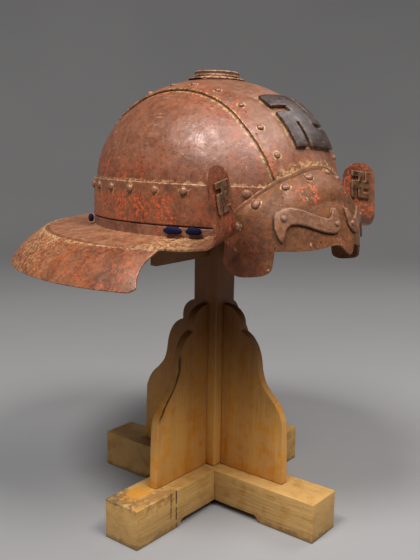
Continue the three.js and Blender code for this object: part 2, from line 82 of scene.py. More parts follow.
# ---------------------------------------------------------------- bowl side plates
# Two quarter shells of beaten iron, 1.8 mm thick, lacquered red-brown over red
# primer.  Their upper edges run in under the top plate and their feet into the band.
SEAM_HEIGHT = 0.3001
SEAT = np.array([-0.0031, 0.0009, SEAM_HEIGHT])
YAW, LEAN_LEFT, LEAN_BACK = np.radians([-6.1, 2.35, -0.63])
HALF_WIDTH, HALF_LENGTH, RISE = 0.0955, 0.1129, 0.0858
PLATE, GAP = 0.0018, 0.0005
LAP = PLATE + GAP


def turned(yaw, left, back):
    """The rotation that turns about Z, then leans about Y, then about X."""
    cz, sz, cy, sy = math.cos(yaw), math.sin(yaw), math.cos(left), math.sin(left)
    cx, sx = math.cos(back), math.sin(back)
    about_z = np.array([[cz, -sz, 0], [sz, cz, 0], [0, 0, 1]])
    about_y = np.array([[cy, 0, sy], [0, 1, 0], [-sy, 0, cy]])
    about_x = np.array([[1, 0, 0], [0, cx, -sx], [0, sx, cx]])
    return about_z @ about_y @ about_x


HELMET_TURN = turned(YAW, LEAN_LEFT, LEAN_BACK)


def seated(points):
    """From the helmet's own axes (+X the wearer's left, -Y ahead, Z up from the
    seam) to where it sits on the stand: turn, then shift."""
    return np.asarray(points) @ HELMET_TURN.T + SEAT + POST


def unit(v):
    """Each vector divided by its own length."""
    return v / np.maximum(np.linalg.norm(v, axis=-1, keepdims=True), 1e-12)


def smooth(x, low, high):
    """0 below low, 1 above high, and 3t squared less 2t cubed between."""
    t = np.clip((x - low) / (high - low), 0, 1)
    return t * t * (3 - 2 * t)


def bowl(turn, lift, off):
    """Half an ellipsoid, grown by `off`: x = a sin(turn) cos(lift),
    y = -b cos(turn) cos(lift), z = c sin(lift), turn counted from the brow."""
    t, u = np.radians(turn), np.radians(lift)
    x = (HALF_WIDTH + off) * np.sin(t) * np.cos(u)
    y = -(HALF_LENGTH + off) * np.cos(t) * np.cos(u)
    return np.stack(np.broadcast_arrays(x, y, (RISE + off) * np.sin(u)), -1)


def bowl_normal(p):
    """The ellipsoid's gradient at p, made a unit vector."""
    return unit(p / np.array([HALF_WIDTH, HALF_LENGTH, RISE]) ** 2)


def mesh_object(name, points, faces, **attributes):
    """A mesh from points and faces, with float attributes on its points."""
    mesh = bpy.data.meshes.new(name)
    mesh.from_pydata(points.reshape(-1, 3).tolist(), [], faces)
    for key, values in attributes.items():
        layer = mesh.attributes.new(key, "FLOAT", "POINT")
        layer.data.foreach_set("value", np.ravel(values).astype(np.float32))
    mesh.polygons.foreach_set("use_smooth", np.ones(len(mesh.polygons), bool))
    mesh.update()
    piece = bpy.data.objects.new(name, mesh)
    bpy.context.scene.collection.objects.link(piece)
    return piece


def cells(rows, columns, closed=False):
    """The quads of a grid of rows x columns points, as index lists; `closed`
    joins the last row to the first."""
    i, j = np.meshgrid(np.arange(rows - 1 + closed), np.arange(columns - 1), indexing="ij")
    a, b = i * columns + j, (i + 1) % rows * columns + j
    return np.stack([a, b, b + 1, a + 1], -1).reshape(-1, 4).tolist()


def rim_nearness(points, reach=0.0011):
    """1 on a grid's four borders, falling off as exp(-distance / reach); the
    distance is summed along the grid's own lines."""
    def along(axis):
        """Distance along an axis to the nearer end of each line."""
        steps = np.linalg.norm(np.diff(points, axis=axis), axis=-1)
        start = np.zeros_like(np.take(steps, [0], axis))
        run = np.cumsum(np.concatenate([start, steps], axis), axis)
        return np.minimum(run, np.take(run, [-1], axis) - run)
    return np.exp(-np.minimum(along(0), along(1)) / reach)


def beside(points, centres, radius, reach):
    """1 at `radius` from the nearest of the centres, falling off outwards as
    exp(-distance / reach)."""
    nearest = np.full(points.shape[:-1], np.inf)
    for centre, size in zip(centres, np.broadcast_to(radius, len(centres))):
        nearest = np.minimum(nearest, np.linalg.norm(points - centre, axis=-1) - size)
    return np.exp(-np.clip(nearest, 0, None) / reach)


def finish_plate(piece, thickness, edge=0.0005):
    """Gives a sheet its wall inwards from the face it was drawn on, and rounds
    its rims."""
    wall = piece.modifiers.new("wall", "SOLIDIFY")
    wall.thickness = thickness
    wall.offset = -1
    wall.use_even_offset = True
    rim = piece.modifiers.new("rim", "BEVEL")
    rim.width = edge
    rim.segments = 2
    rim.angle_limit = math.radians(50)


def plate(name, grid, thickness=PLATE, thinned=None, **attributes):
    """A plate from the grid of its outer face, in the helmet's axes.  The
    attribute `rim` holds how near each point is to a rim, and `thinned` how much
    of the thickness is hammered away at each point."""
    attributes.setdefault("rim", rim_nearness(grid))
    piece = mesh_object(name, seated(grid), cells(*grid.shape[:2]), **attributes)
    finish_plate(piece, thickness)
    if thinned is not None:
        group = piece.vertex_groups.new(name="wall")
        for point, share in enumerate(np.ravel(1 - thinned)):
            group.add([point], float(share), "REPLACE")
        piece.modifiers["wall"].vertex_group = "wall"
        piece.modifiers["rim"].width = 0.0002
    return piece


def mirrored(grid):
    """The same plate on the other side: x turned over, and the rows the other
    way round so that it still faces outwards."""
    return grid[::-1] * np.array([-1, 1, 1])


def over_crown(x, angle, off):
    """A point of the bowl at width x and `angle` round from the brow over the
    crown: y = -b k cos(angle), z = c k sin(angle), k the half circle left at x."""
    k = np.sqrt(np.clip(1 - (x / (HALF_WIDTH + off)) ** 2, 0, 1))
    y = -(HALF_LENGTH + off) * k * np.cos(np.radians(angle))
    z = (RISE + off) * k * np.sin(np.radians(angle))
    return np.stack(np.broadcast_arrays(x, y, z), -1)


TOP_HALF_WIDTH, NARROWING, TUCK = 0.0493, 0.0105, 0.009


def top_half_width(angle):
    """Full width over the crown; within 40 degrees of either end it narrows by
    the 1.6th power of how far in it is."""
    low = np.clip(1 - np.minimum(angle, 180 - angle) / 40, 0, 1)
    return TOP_HALF_WIDTH - NARROWING * low**1.6


def side_plate_top(turn):
    """The lift at which a side plate's upper edge runs TUCK in under the top
    plate, found by halving the interval thirty times."""
    low, high = np.zeros_like(turn), np.full_like(turn, 89.0)
    for _ in range(30):
        lift = (low + high) / 2
        p = bowl(turn, lift, 0)
        angle = np.degrees(np.arctan2(p[..., 2] / RISE, -p[..., 1] / HALF_LENGTH))
        outside = p[..., 0] > top_half_width(angle) - TUCK
        low, high = np.where(outside, lift, low), np.where(outside, high, lift)
    return low


def finish(name):
    """A new material, its node tree and its main shader."""
    material = bpy.data.materials.new(name)
    material.use_nodes = True
    return material, material.node_tree, material.node_tree.nodes["Principled BSDF"]


def plug(tree, value, socket):
    """Links an output to a socket, or sets a plain value on it."""
    if isinstance(value, bpy.types.NodeSocket):
        tree.links.new(value, socket)
    else:
        socket.default_value = value


def grain(tree, scale, detail=4, stretch=(1, 1, 1), shift=0, rough=0.55, warp=0):
    """Noise over the piece's own coordinates, in lumps about 1/scale metre wide."""
    place = tree.nodes.new("ShaderNodeTexCoord")
    move = tree.nodes.new("ShaderNodeMapping")
    move.inputs["Scale"].default_value = stretch
    move.inputs["Location"].default_value = (shift, shift * 1.7, -shift)
    tree.links.new(place.outputs["Object"], move.inputs["Vector"])
    noise = tree.nodes.new("ShaderNodeTexNoise")
    tree.links.new(move.outputs["Vector"], noise.inputs["Vector"])
    noise.inputs["Scale"].default_value = scale
    noise.inputs["Detail"].default_value = detail
    noise.inputs["Roughness"].default_value = rough
    noise.inputs["Distortion"].default_value = warp
    return noise.outputs["Fac"]


def between(tree, value, low, high, to_low=0.0, to_high=1.0):
    """Eases a value from to_low at `low` to to_high at `high`."""
    node = tree.nodes.new("ShaderNodeMapRange")
    node.interpolation_type = "SMOOTHSTEP"
    plug(tree, value, node.inputs["Value"])
    for socket, number in zip(node.inputs[1:5], (low, high, to_low, to_high)):
        socket.default_value = number
    return node.outputs["Result"]


def sum_of(tree, kind, first, second):
    """One of the Math node's sums, such as MULTIPLY, MAXIMUM or ADD."""
    node = tree.nodes.new("ShaderNodeMath")
    node.operation = kind
    plug(tree, first, node.inputs[0])
    plug(tree, second, node.inputs[1])
    return node.outputs[0]


def times(tree, first, second):
    """The product of two values."""
    return sum_of(tree, "MULTIPLY", first, second)


def layer(tree, share, under, over):
    """The colour `over` laid on the colour `under`, as thick as `share`."""
    node = tree.nodes.new("ShaderNodeMix")
    node.data_type = "RGBA"
    plug(tree, share, node.inputs[0])
    plug(tree, under if isinstance(under, bpy.types.NodeSocket) else (*under, 1), node.inputs[6])
    plug(tree, over if isinstance(over, bpy.types.NodeSocket) else (*over, 1), node.inputs[7])
    return node.outputs[2]


def painted(tree, name):
    """The value of one of the mesh's own attributes."""
    node = tree.nodes.new("ShaderNodeAttribute")
    node.attribute_name = name
    return node.outputs["Fac"]


def relief(tree, *layers):
    """A bump from (height, depth in metres) layers, one on top of another."""
    normal = None
    for height, depth in layers:
        node = tree.nodes.new("ShaderNodeBump")
        node.inputs["Distance"].default_value = depth
        plug(tree, height, node.inputs["Height"])
        if normal is not None:
            tree.links.new(normal, node.inputs["Normal"])
        normal = node.outputs["Normal"]
    return normal


def from_post(tree):
    """Metres to the left of the post, behind it and above the floor."""
    place = tree.nodes.new("ShaderNodeTexCoord")
    shift = tree.nodes.new("ShaderNodeVectorMath")
    shift.operation = "SUBTRACT"
    tree.links.new(place.outputs["Object"], shift.inputs[0])
    shift.inputs[1].default_value = (POST[0], POST[1], 0)
    split = tree.nodes.new("ShaderNodeSeparateXYZ")
    tree.links.new(shift.outputs[0], split.inputs[0])
    return split.outputs[0], split.outputs[1], split.outputs[2]


RED_PRIMER = (0.66, 0.105, 0.030)
WORN_GOLD = (0.60, 0.36, 0.16)
# The dark of pits, and also of painted shade.
DARK_PIT_AND_SHADE = (0.035, 0.015, 0.010)


def scratches(tree, seed):
    """Thin pale hairlines, long one way and short the other, in a few patches."""
    place = tree.nodes.new("ShaderNodeTexCoord")
    move = tree.nodes.new("ShaderNodeMapping")
    move.inputs["Rotation"].default_value = (0.5, 0.9, seed)
    move.inputs["Scale"].default_value = (1, 0.05, 0.6)
    tree.links.new(place.outputs["Object"], move.inputs["Vector"])
    hair = tree.nodes.new("ShaderNodeTexNoise")
    hair.inputs["Scale"].default_value = 620
    hair.inputs["Detail"].default_value = 2
    hair.inputs["Distortion"].default_value = 0.5
    tree.links.new(move.outputs["Vector"], hair.inputs["Vector"])
    where = between(tree, grain(tree, 55, 4, shift=seed + 11), 0.52, 0.62)
    return times(tree, between(tree, hair.outputs["Fac"], 0.645, 0.685), where)


def lacquered_iron(name, dark, mid, dusty, dust=0.5, primer=0.5, seed=0.0, roughness=0.46,
                   shine=0.65, worn=0.5, worn_colour=(0.46, 0.27, 0.15)):
    """Old lacquer on iron: mottled red-brown, rubbed dusty in clouds, flecked with
    its red primer and pitted.  The mesh's own values say where dust has settled,
    in places also as painted light (`dust`), primer shows (`red`), shade is painted
    dark (`grime`), the coat is darker and redder, on the brow plate's near
    temple tab as painted shade (`deep`), and a rim runs (`rim`)."""
    material, tree, shader = finish(name)
    mottle = between(tree, grain(tree, 62, 8, shift=seed, rough=0.76, warp=0.4), 0.38, 0.62)
    colour = layer(tree, mottle, dark, mid)
    clouds = between(tree, grain(tree, 9, 6, shift=seed + 3, rough=0.62), 0.40, 0.70)
    colour = layer(tree, times(tree, clouds, 0.8 * dust), colour, dusty)
    streak = between(tree, grain(tree, 300, 6, shift=seed + 6, rough=0.75), 0.50, 0.62)
    colour = layer(tree, times(tree, streak, 0.4), colour, dusty)
    dim = between(tree, grain(tree, 240, 6, shift=seed + 13, rough=0.75), 0.52, 0.62)
    colour = layer(tree, times(tree, dim, 0.4), colour, tuple(0.5 * v for v in dark))
    colour = layer(tree, times(tree, painted(tree, "deep"), 0.85), colour,
                   layer(tree, mottle, (0.050, 0.013, 0.005), (0.135, 0.033, 0.010)))
    patches = between(tree, grain(tree, 24, 5, shift=seed + 7, rough=0.7), 0.50, 0.64)
    red = times(tree, painted(tree, "red"), between(tree, grain(tree, 60, 4, shift=seed + 9), 0.36, 0.56))
    shown = sum_of(tree, "MAXIMUM", times(tree, patches, primer), red)
    flecks = between(tree, grain(tree, 360, 6, shift=seed + 1, rough=0.72, warp=0.2), 0.515, 0.54)
    colour = layer(tree, times(tree, times(tree, flecks, shown), 0.95), colour, RED_PRIMER)
    ragged = between(tree, grain(tree, 290, 6, shift=seed + 2, rough=0.75), 0.40, 0.60, 0.0, 1.2)
    # Settled dust in worn gold; above the brow hem on the top plate and over the skirt's rear part it also stands
    # for painted light.
    settled_dust_and_light = between(tree, times(tree, painted(tree, "dust"), ragged), 0.20, 0.80)
    colour = layer(tree, times(tree, settled_dust_and_light, 0.85), colour, WORN_GOLD)
    colour = layer(tree, times(tree, scratches(tree, seed), 0.55), colour, (0.56, 0.33, 0.22))
    pits = between(tree, grain(tree, 260, 2, shift=seed + 5), 0.71, 0.75)
    colour = layer(tree, times(tree, pits, 0.75), colour, DARK_PIT_AND_SHADE)
    # Painted shade: darkened where the painted-shade value is high, beside lapped edges, round rivet feet, round the
    # eyebrows and in the neck guard's crease.
    colour = layer(tree, between(tree, painted(tree, "grime"), 0.15, 0.9, 0, 0.85), colour, DARK_PIT_AND_SHADE)
    rub = between(tree, times(tree, painted(tree, "rim"), ragged), 0.45, 0.9)
    colour = layer(tree, times(tree, rub, worn), colour, worn_colour)
    tree.links.new(colour, shader.inputs["Base Color"])
    sheen = between(tree, grain(tree, 90, 6, shift=seed + 4, rough=0.7), 0.34, 0.66,
                    roughness - 0.12, roughness + 0.14)
    tree.links.new(sheen, shader.inputs["Roughness"])
    shader.inputs["Metallic"].default_value = 0.10
    shader.inputs["Specular IOR Level"].default_value = shine
    normal = relief(tree, (grain(tree, 34, 3, shift=seed), 0.0016),
                    (grain(tree, 320, 5, shift=seed, rough=0.7), 0.00032), (pits, -0.0003))
    tree.links.new(normal, shader.inputs["Normal"])
    return material


def dress(piece, material, slot, *nodes):
    """Fixes a finished piece to the one body, in place of its solids."""
    piece.data.materials.clear()
    piece.data.materials.append(material)
    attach(piece, "root")
    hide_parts(*nodes)
    return piece


side_turns = np.linspace(21, 159, 190)
side_tops = side_plate_top(side_turns)
side_lifts = np.linspace(0, 1, 100)[None, :] * side_tops[:, None]
side_dome = bowl(side_turns[:, None], side_lifts, 0)
side_skirt = bowl(side_turns[:, None], np.zeros((1, 4)), 0)
side_skirt[..., 2] = np.linspace(-0.008, -0.0012, 4)
side_grid = np.concatenate([side_skirt, side_dome], 1)
x, y, z = np.moveaxis(side_grid, -1, 0)
over = np.degrees(np.arctan2(z / RISE, -y / HALF_LENGTH))
to_lap = x - top_half_width(over)
side_wear = {
    "dust": np.clip(np.exp(-np.abs(z - 0.0005) / 0.0016) + 0.8 * np.exp(-np.clip(to_lap, 0, 1) / 0.0022), 0, 1),
    # Painted shadow along the top plate's lapped edge.
    "grime": 0.5 * np.exp(-np.clip(to_lap, 0, 1) / 0.0004),
    "red": smooth(z, 0.030, 0.006) * smooth(np.radians(side_turns)[:, None], 0.9, 2.0)
    + 0.45 * np.exp(-np.clip(to_lap, 0, 1) / 0.008)}

side_finish = lacquered_iron("lacquer_bowl", (0.15, 0.041, 0.014), (0.245, 0.077, 0.029),
                             (0.30, 0.142, 0.084), dust=0.45, primer=0.25, seed=1.0, shine=0.85)
for hand in ("left", "right"):
    grid = side_grid if hand == "left" else mirrored(side_grid)
    wear = {key: value if hand == "left" else value[::-1] for key, value in side_wear.items()}
    dress(plate(f"bowl_side_plate_{hand}_shell", grid, **wear), side_finish, "lacquered_iron",
          f"bowl_side_plate_{hand}")


# ---------------------------------------------------------------- bowl top plate
# One broad strip of iron beaten over the crown from the brow to the nape.  It laps
# over both side plates and is fixed to them by a row of ten rivets on each side.
def pole_faces(rings, steps):
    """Faces of a closed turned form: a first pole, rings of `steps` points, and
    a last pole."""
    quads = np.array(cells(rings, steps + 1)) if rings > 1 else np.zeros((0, 4), int)
    quads = (quads // (steps + 1)) * steps + quads % (steps + 1) % steps + 1
    ring = np.arange(steps)
    first = np.stack([np.zeros(steps, int), (ring + 1) % steps + 1, ring + 1], -1)
    last = 1 + (rings - 1) * steps
    end = np.full(steps, 1 + rings * steps)
    final = np.stack([end, last + ring, last + (ring + 1) % steps], -1)
    return first, quads[:, ::-1], final


def frame_on(normal):
    """Two directions across each normal, square to it and to each other."""
    helper = np.where(np.abs(normal[..., 2:3]) > 0.9, [1.0, 0, 0], [0, 0, 1.0])
    first = unit(np.cross(helper, normal))
    return first, np.cross(normal, first)


def rivets(name, points, normals, radii, tall=0.72, steps=20, seed=3):
    """Hammered rivet heads: from a sunk foot each rises as radius cos(a)^0.8,
    height sin(a), with its crown knocked a little aside."""
    chance = np.random.default_rng(seed)
    count = len(points)
    a = np.linspace(0, np.pi / 2 * 0.93, 8)
    out = np.concatenate([[1.0], np.cos(a) ** 0.8])
    up = np.concatenate([[-0.35], tall * np.sin(a)])
    radii = np.broadcast_to(radii, count) * chance.uniform(0.93, 1.07, count)
    flat = chance.uniform(0.85, 1.08, count)
    lean = chance.normal(0, 0.07, (count, 2))
    around = np.linspace(0, 2 * np.pi, steps, endpoint=False)
    ring = np.stack([np.cos(around), np.sin(around)], -1)
    wobble = 1 + 0.03 * np.sin(2 * around[None] + chance.uniform(0, 6, (count, 1)))
    flatwise = out[None, :, None, None] * ring[None, None] * wobble[:, None, :, None]
    high = np.broadcast_to((up[None] * flat[:, None])[:, :, None], flatwise.shape[:3])
    flatwise = flatwise + lean[:, None, None] * np.clip(high, 0, None)[..., None]
    body = np.concatenate([flatwise, high[..., None]], -1).reshape(count, -1, 3)
    foot = np.tile([[[0, 0, -0.35]]], (count, 1, 1))
    crown = np.concatenate([lean * tall, (tall * flat)[:, None]], -1)[:, None]
    local = np.concatenate([foot, body, crown], 1) * radii[:, None, None]
    first, second = frame_on(normals)
    placed = (points[:, None] + local[..., :1] * first[:, None] + local[..., 1:2] * second[:, None]
              + local[..., 2:] * normals[:, None])
    shapes = [f.tolist() for f in pole_faces(len(out), steps)]
    one = local.shape[1]
    faces = [[v + k * one for v in face] for k in range(count) for kind in shapes for face in kind]
    worn = np.clip(local[..., 2] / radii[:, None] * 0.9, 0, 1) ** 2
    return mesh_object(name, seated(placed), faces, rim=worn)


MANJI = np.array([[c == "#" for c in row] for row in ("### #", "  # #", "#####", "# #  ", "# ###")])
CREST_COLUMNS = np.array([-22.6, -10.8, -7.2, 10.6, 15.4, 27]) / 1000
CREST_ROWS = np.array([52.6, 44.4, 40.6, 33.8, 31.4, 20.5])
CREST_SLANT, CREST_THICK = 0.00012, 0.003


def outside_pattern(x, y, columns, rows):
    """Distance from (x, y) to the nearest bar of the manji, 0 inside it."""
    nearest = np.full(x.shape, np.inf)
    for r, c in zip(*np.nonzero(MANJI)):
        right = np.maximum(columns[c] - x, x - columns[c + 1])
        up = np.maximum(rows[r + 1] - y, y - rows[r])
        nearest = np.minimum(nearest, np.hypot(np.clip(right, 0, None), np.clip(up, 0, None)))
    return nearest


top_angles = np.linspace(3.5, 179.4, 260)
top_half = top_half_width(top_angles)
top_x = np.linspace(1, -1, 110)[None] * top_half[:, None]
top_grid = over_crown(top_x, top_angles[:, None], LAP)
top_finish = lacquered_iron("lacquer_top_plate", (0.14, 0.047, 0.022), (0.22, 0.082, 0.041),
                            (0.29, 0.142, 0.083), dust=0.5, primer=0.25, seed=9.0, worn=0.8,
                            worn_colour=(0.6, 0.344, 0.126))
rivet_finish = lacquered_iron("lacquer_rivets", (0.14, 0.050, 0.024), (0.27, 0.110, 0.055),
                              (0.36, 0.186, 0.111), dust=0.4, primer=0.15, seed=4.0, roughness=0.40, worn=0.3)
rivet_angles = np.repeat([17, 33.6, 50.2, 66.9, 82.7, 96.6, 113, 128.5, 144, 160], 2)
rivet_x = np.tile([-1, 1], 10) * (top_half_width(rivet_angles) - 0.0087)
places = over_crown(rivet_x, rivet_angles, LAP)
# metres round the crown in one degree
CROWN_PER_DEGREE = math.pi * (HALF_LENGTH + RISE) / 2 / 180
beside_crest = outside_pattern(top_x - CREST_SLANT * (CREST_ROWS[2] - top_angles[:, None]),
                               np.broadcast_to(top_angles[:, None] * CROWN_PER_DEGREE, top_x.shape),
                               CREST_COLUMNS, CREST_ROWS * CROWN_PER_DEGREE)
top_turn = np.degrees(np.arctan2(top_grid[..., 0], -top_grid[..., 1]))
# height above the brow plate's upper hem, taken as a parabola; 1 more at the back
over_brow = top_grid[..., 2] - (0.018 - 2.3e-5 * top_turn**2) + (top_grid[..., 1] > 0)
top_wear = {
    "rim": rim_nearness(top_grid, 0.0024),
    # Dust round the crest and the rivets; above the brow hem it is settled dust widened into painted light on the
    # top plate's lower front.
    "dust": np.clip(0.9 * np.exp(-beside_crest / 0.0016) + 0.85 * beside(top_grid, places, 0.0032, 0.0008)
                    + 0.85 * np.exp(-np.clip(over_brow, 0, None) / 0.0055), 0, 1),
    # Painted shade round the rivet feet.
    "grime": 0.9 * beside(top_grid, places, 0.0024, 0.0005),
    "red": 0.4 * smooth(np.abs(top_x), 0.030, 0.046) + 0.35 * smooth(top_angles[:, None], 26, 10)}
dress(plate("bowl_top_plate_shell", top_grid, **top_wear), top_finish, "lacquered_iron", "bowl_top_plate")
dress(rivets("bowl_top_plate_rivets", places, bowl_normal(places), 0.0026), rivet_finish,
      "lacquered_iron", "bowl_top_plate")

# ---------------------------------------------------------------- base band
# A hoop of iron round the foot of the bowl, riveted to the side plates near its
# upper edge.  Most of the red primer shows here, where it was handled.
BAND_HEIGHT = 0.0325


def hoop(name, outline, rim, heads, steps=420):
    """A closed hoop round the bowl: an outline of (growth, z) carried round it."""
    outline = np.array([*outline, outline[0]])
    turns = np.linspace(0, 360, steps, endpoint=False)
    grid = bowl(turns[:, None], 0.0, outline[None, :, 0])
    grid[..., 2] = outline[None, :, 1]
    side = np.abs((turns + 180) % 360 - 180)
    low = smooth(grid[..., 2], -0.004, -0.014)
    red = low * (0.35 + 0.65 * smooth(side, 50, 75) * smooth(side, 150, 120))[:, None]
    return mesh_object(name, seated(grid), cells(*grid.shape[:2], closed=True),
                       rim=np.broadcast_to([*rim, rim[0]], grid.shape[:2]), red=red,
                       dust=np.clip(0.8 * beside(grid, heads, 0.0036, 0.0008)
                                    + 0.30 * smooth(side, 62, 100)[:, None], 0, 1),
                       # Painted shade round the rivet feet.
                       grime=0.9 * beside(grid, heads, 0.0028, 0.0005))


def merge_seam(piece):
    """Joins points that lie on each other, so that a seam is closed."""
    weld = piece.modifiers.new("seam", "WELD")
    weld.merge_threshold = 1e-6
    return piece


round_in = 0.0004
band_face = np.linspace(-0.0315, -0.0014, 34)
band_rows = [(GAP, -BAND_HEIGHT + round_in), (GAP + round_in, -BAND_HEIGHT), (LAP - round_in, -BAND_HEIGHT),
             (LAP, -BAND_HEIGHT + round_in), *[(LAP, z) for z in band_face], (LAP, -0.0006),
             (LAP - round_in, -0.0001), (GAP + round_in, -0.0001), (GAP, -0.0006)]
band_rim = [0.3, 0.6, 0.7, 0.6, *np.maximum(0.9 * np.exp(-(-0.0001 - band_face) / 0.0012),
                                           0.35 * np.exp(-(band_face + BAND_HEIGHT) / 0.001)), 1, 1, 1, 0.5]
band_finish = lacquered_iron("lacquer_band", (0.155, 0.042, 0.016), (0.27, 0.086, 0.033),
                             (0.36, 0.167, 0.081), dust=0.35, primer=0.6, seed=15.0, worn=0.9)
band_turns = np.linspace(36.5, 323.5, 23)
places = bowl(band_turns, 0.0, LAP)
outward = bowl_normal(places)
places[:, 2] = -0.006
band = merge_seam(hoop("base_band_hoop", band_rows, band_rim, places))
dress(band, band_finish, "lacquered_iron", "base_band")
dress(rivets("base_band_rivets", places, outward, 0.0034, seed=5), rivet_finish,
      "lacquered_iron", "base_band")


# ---------------------------------------------------------------- brow plate
# One plate beaten out to stand forward over the eyes, with a small beak in the
# middle and a tab down each temple, fixed by nine rivets along it.
BROW_EDGE = np.array([
    # turn from the brow, upper edge, lower edge (degrees, millimetres)
    (0, 18, -49), (1.6, 17.8, -46.8), (3.2, 17.5, -42.8), (4.6, 17.2, -41.4), (8, 16, -42.5),
    (12, 14, -44.8), (16, 11.2, -46), (20, 8.7, -46.6), (24, 5.7, -46.7), (27, 2.3, -46.7),
    (27.9, 1.2, -60), (28.9, 0, -63), (31, -2.7, -65.5), (34.5, -7.5, -67.4), (38, -12.7, -68.4),
    (41, -18, -67.2), (43.2, -24.5, -64), (44.9, -36, -58)]) * [1, 0.001, 0.001]
LEFT_TAB_TRIM = 0.006
SWELL, SWELL_LENGTH, HEM = 0.020, 0.015, 0.004
BEAK, BEAK_START = 0.32, 0.027
SHOULDER, FLUSH = 27, 43


def eased(x, xs, ys):
    """A curve through (xs, ys) with no overshoot: cubic between points, with the
    harmonic mean of the two neighbouring slopes at each inner point."""
    h, d = np.diff(xs), np.diff(ys) / np.diff(xs)
    same = d[:-1] * d[1:] > 0
    inner = np.where(same, 2 * d[:-1] * d[1:] / np.where(same, d[:-1] + d[1:], 1), 0)
    slope = np.concatenate([[d[0]], inner, [d[-1]]])
    k = np.clip(np.searchsorted(xs, x, side="right") - 1, 0, len(h) - 1)
    t = np.clip((x - xs[k]) / h[k], 0, 1)
    return ((2 * t**3 - 3 * t**2 + 1) * ys[k] + (t**3 - 2 * t**2 + t) * h[k] * slope[k]
            + (3 * t**2 - 2 * t**3) * ys[k + 1] + (t**3 - t**2) * h[k] * slope[k + 1])


def brow_edge(turn, column):
    """The upper (1) or lower (2) edge's height at a turn either way."""
    return eased(np.abs(turn), BROW_EDGE[:, 0], BROW_EDGE[:, column])


def brow(turn, z, off):
    """The brow plate's outer face: the bowl's own surface at that turn and height,
    pushed out by a swell that grows below the upper hem as 1 - exp(-depth / L)
    and dies away over the temples, with the beak added near the middle."""
    turn, z = np.broadcast_arrays(np.asarray(turn, float), np.asarray(z, float))
    t = np.abs(turn)
    depth = brow_edge(turn, 1) - z
    nose = np.where(t < 28, np.cos(np.radians(90 * t / 28)) ** 2, 0)
    push = SWELL * (1 - np.exp(-np.clip(depth - HEM, 0, None) / SWELL_LENGTH))
    push = push * (1 - smooth(t, SHOULDER, FLUSH)) + BEAK * np.clip(depth - BEAK_START, 0, None) * nose
    lift = np.degrees(np.arcsin(np.clip(z, 0, None) / RISE))
    p = bowl(turn, lift, 0.0)
    p[..., 2] = z
    out = bowl_normal(p * [1, 1, 0])
    return p + out * (2 * LAP + push + off)[..., None]


def brow_normal(turn, z):
    """Square to the brow plate, from differences of half a degree and half a
    millimetre."""
    across = brow(turn + 0.5, z, 0.0) - brow(turn - 0.5, z, 0.0)
    up = brow(turn, z + 0.0005, 0.0) - brow(turn, z - 0.0005, 0.0)
    return unit(np.cross(across, up))


EYEBROW = np.array([
    # turn, lower edge, upper edge (degrees, millimetres)
    (2.4, -27.5, -20), (3, -30, -14.6), (4.2, -32.3, -14.8), (5.1, -33.1, -18), (6.1, -33.4, -21.4),
    (7.5, -33.1, -22.4), (9.8, -32.2, -21.2), (12.4, -30.6, -19.6), (15, -28.6, -17.6),
    (17.5, -27.4, -15.9), (19.6, -27, -15), (21.2, -27.3, -14.6), (22.6, -29.2, -14.7),
    (23.6, -32.4, -15.1), (24.6, -40.6, -15.7), (25.6, -39, -16.8), (26.7, -35, -18.8),
    (27.6, -29.5, -22.4)]) * [1, 0.001, 0.001]
EYEBROW_THICK = 0.0018
BROW_PER_DEGREE = 0.0021


def around_eyebrow(turn, z):
    """Metres above, below and past the hooked end of the eyebrow at a turn and
    height, 1 where the point isn't on that side of it."""
    t = np.abs(turn)
    inside = np.clip(t, EYEBROW[0, 0], EYEBROW[-1, 0])
    apart = np.abs(t - inside) * BROW_PER_DEGREE
    high = z - eased(inside, EYEBROW[:, 0], EYEBROW[:, 2])
    low = eased(inside, EYEBROW[:, 0], EYEBROW[:, 1]) - z
    beyond = (t > EYEBROW[-1, 0]) & (high < 0.002) & (low < 0.008)
    return (np.where(high > low, np.hypot(np.clip(high, 0, None), apart), 1),
            np.where(high > low, 1, np.hypot(np.clip(low, 0, None), apart)),
            np.where(beyond, apart, 1))


half_turns = np.concatenate([np.linspace(a, b, n, endpoint=False) for a, b, n in
                             ((0, 5, 22), (5, 27, 70), (27, 28.9, 16), (28.9, 44.9, 46))] + [[44.9]])
brow_turns = np.concatenate([-half_turns[:0:-1], half_turns])
brow_low = brow_edge(brow_turns, 2) + np.where(brow_turns > 27.5, LEFT_TAB_TRIM, 0)
brow_high = brow_edge(brow_turns, 1)
share = smooth(np.linspace(0, 1, 96), -0.15, 1.15)
share = (share - share[0]) / (share[-1] - share[0])
brow_z = brow_low[:, None] + (brow_high - brow_low)[:, None] * share[None]
brow_at = brow_turns[:, None] + 0 * brow_z
below_hem = brow_high[:, None] - brow_z
feather = 0.68 * np.exp(-below_hem / 0.0022)
brow_grid = brow(brow_at, brow_z, -PLATE * feather)
BROW_RIVETS = np.array([
    # turn, height, radius (degrees, millimetres)
    (-40, -30.5, 3), (-33, -13, 3.8), (-21, 0.4, 3.4), (-9.5, 8.3, 3.5), (3.8, 12.2, 3.2),
    (15, 7, 3), (26, -2, 3), (34, -14.5, 3.4), (40, -30.5, 3)]) * [1, 0.001, 0.001]
places = brow(BROW_RIVETS[:, 0], BROW_RIVETS[:, 1], 0.0)
above, under, past_end = around_eyebrow(brow_at, brow_z)
dabs = sum(np.exp(-((brow_at - turn) / 1.6) ** 2 - ((brow_z - height) / 0.0035) ** 2) for turn, height in
           ((-14.6, -0.003), (-14.2, -0.0085), (-10.2, 0.0005), (-9.8, -0.007), (-19, 0.0005), (10, -0.004)))
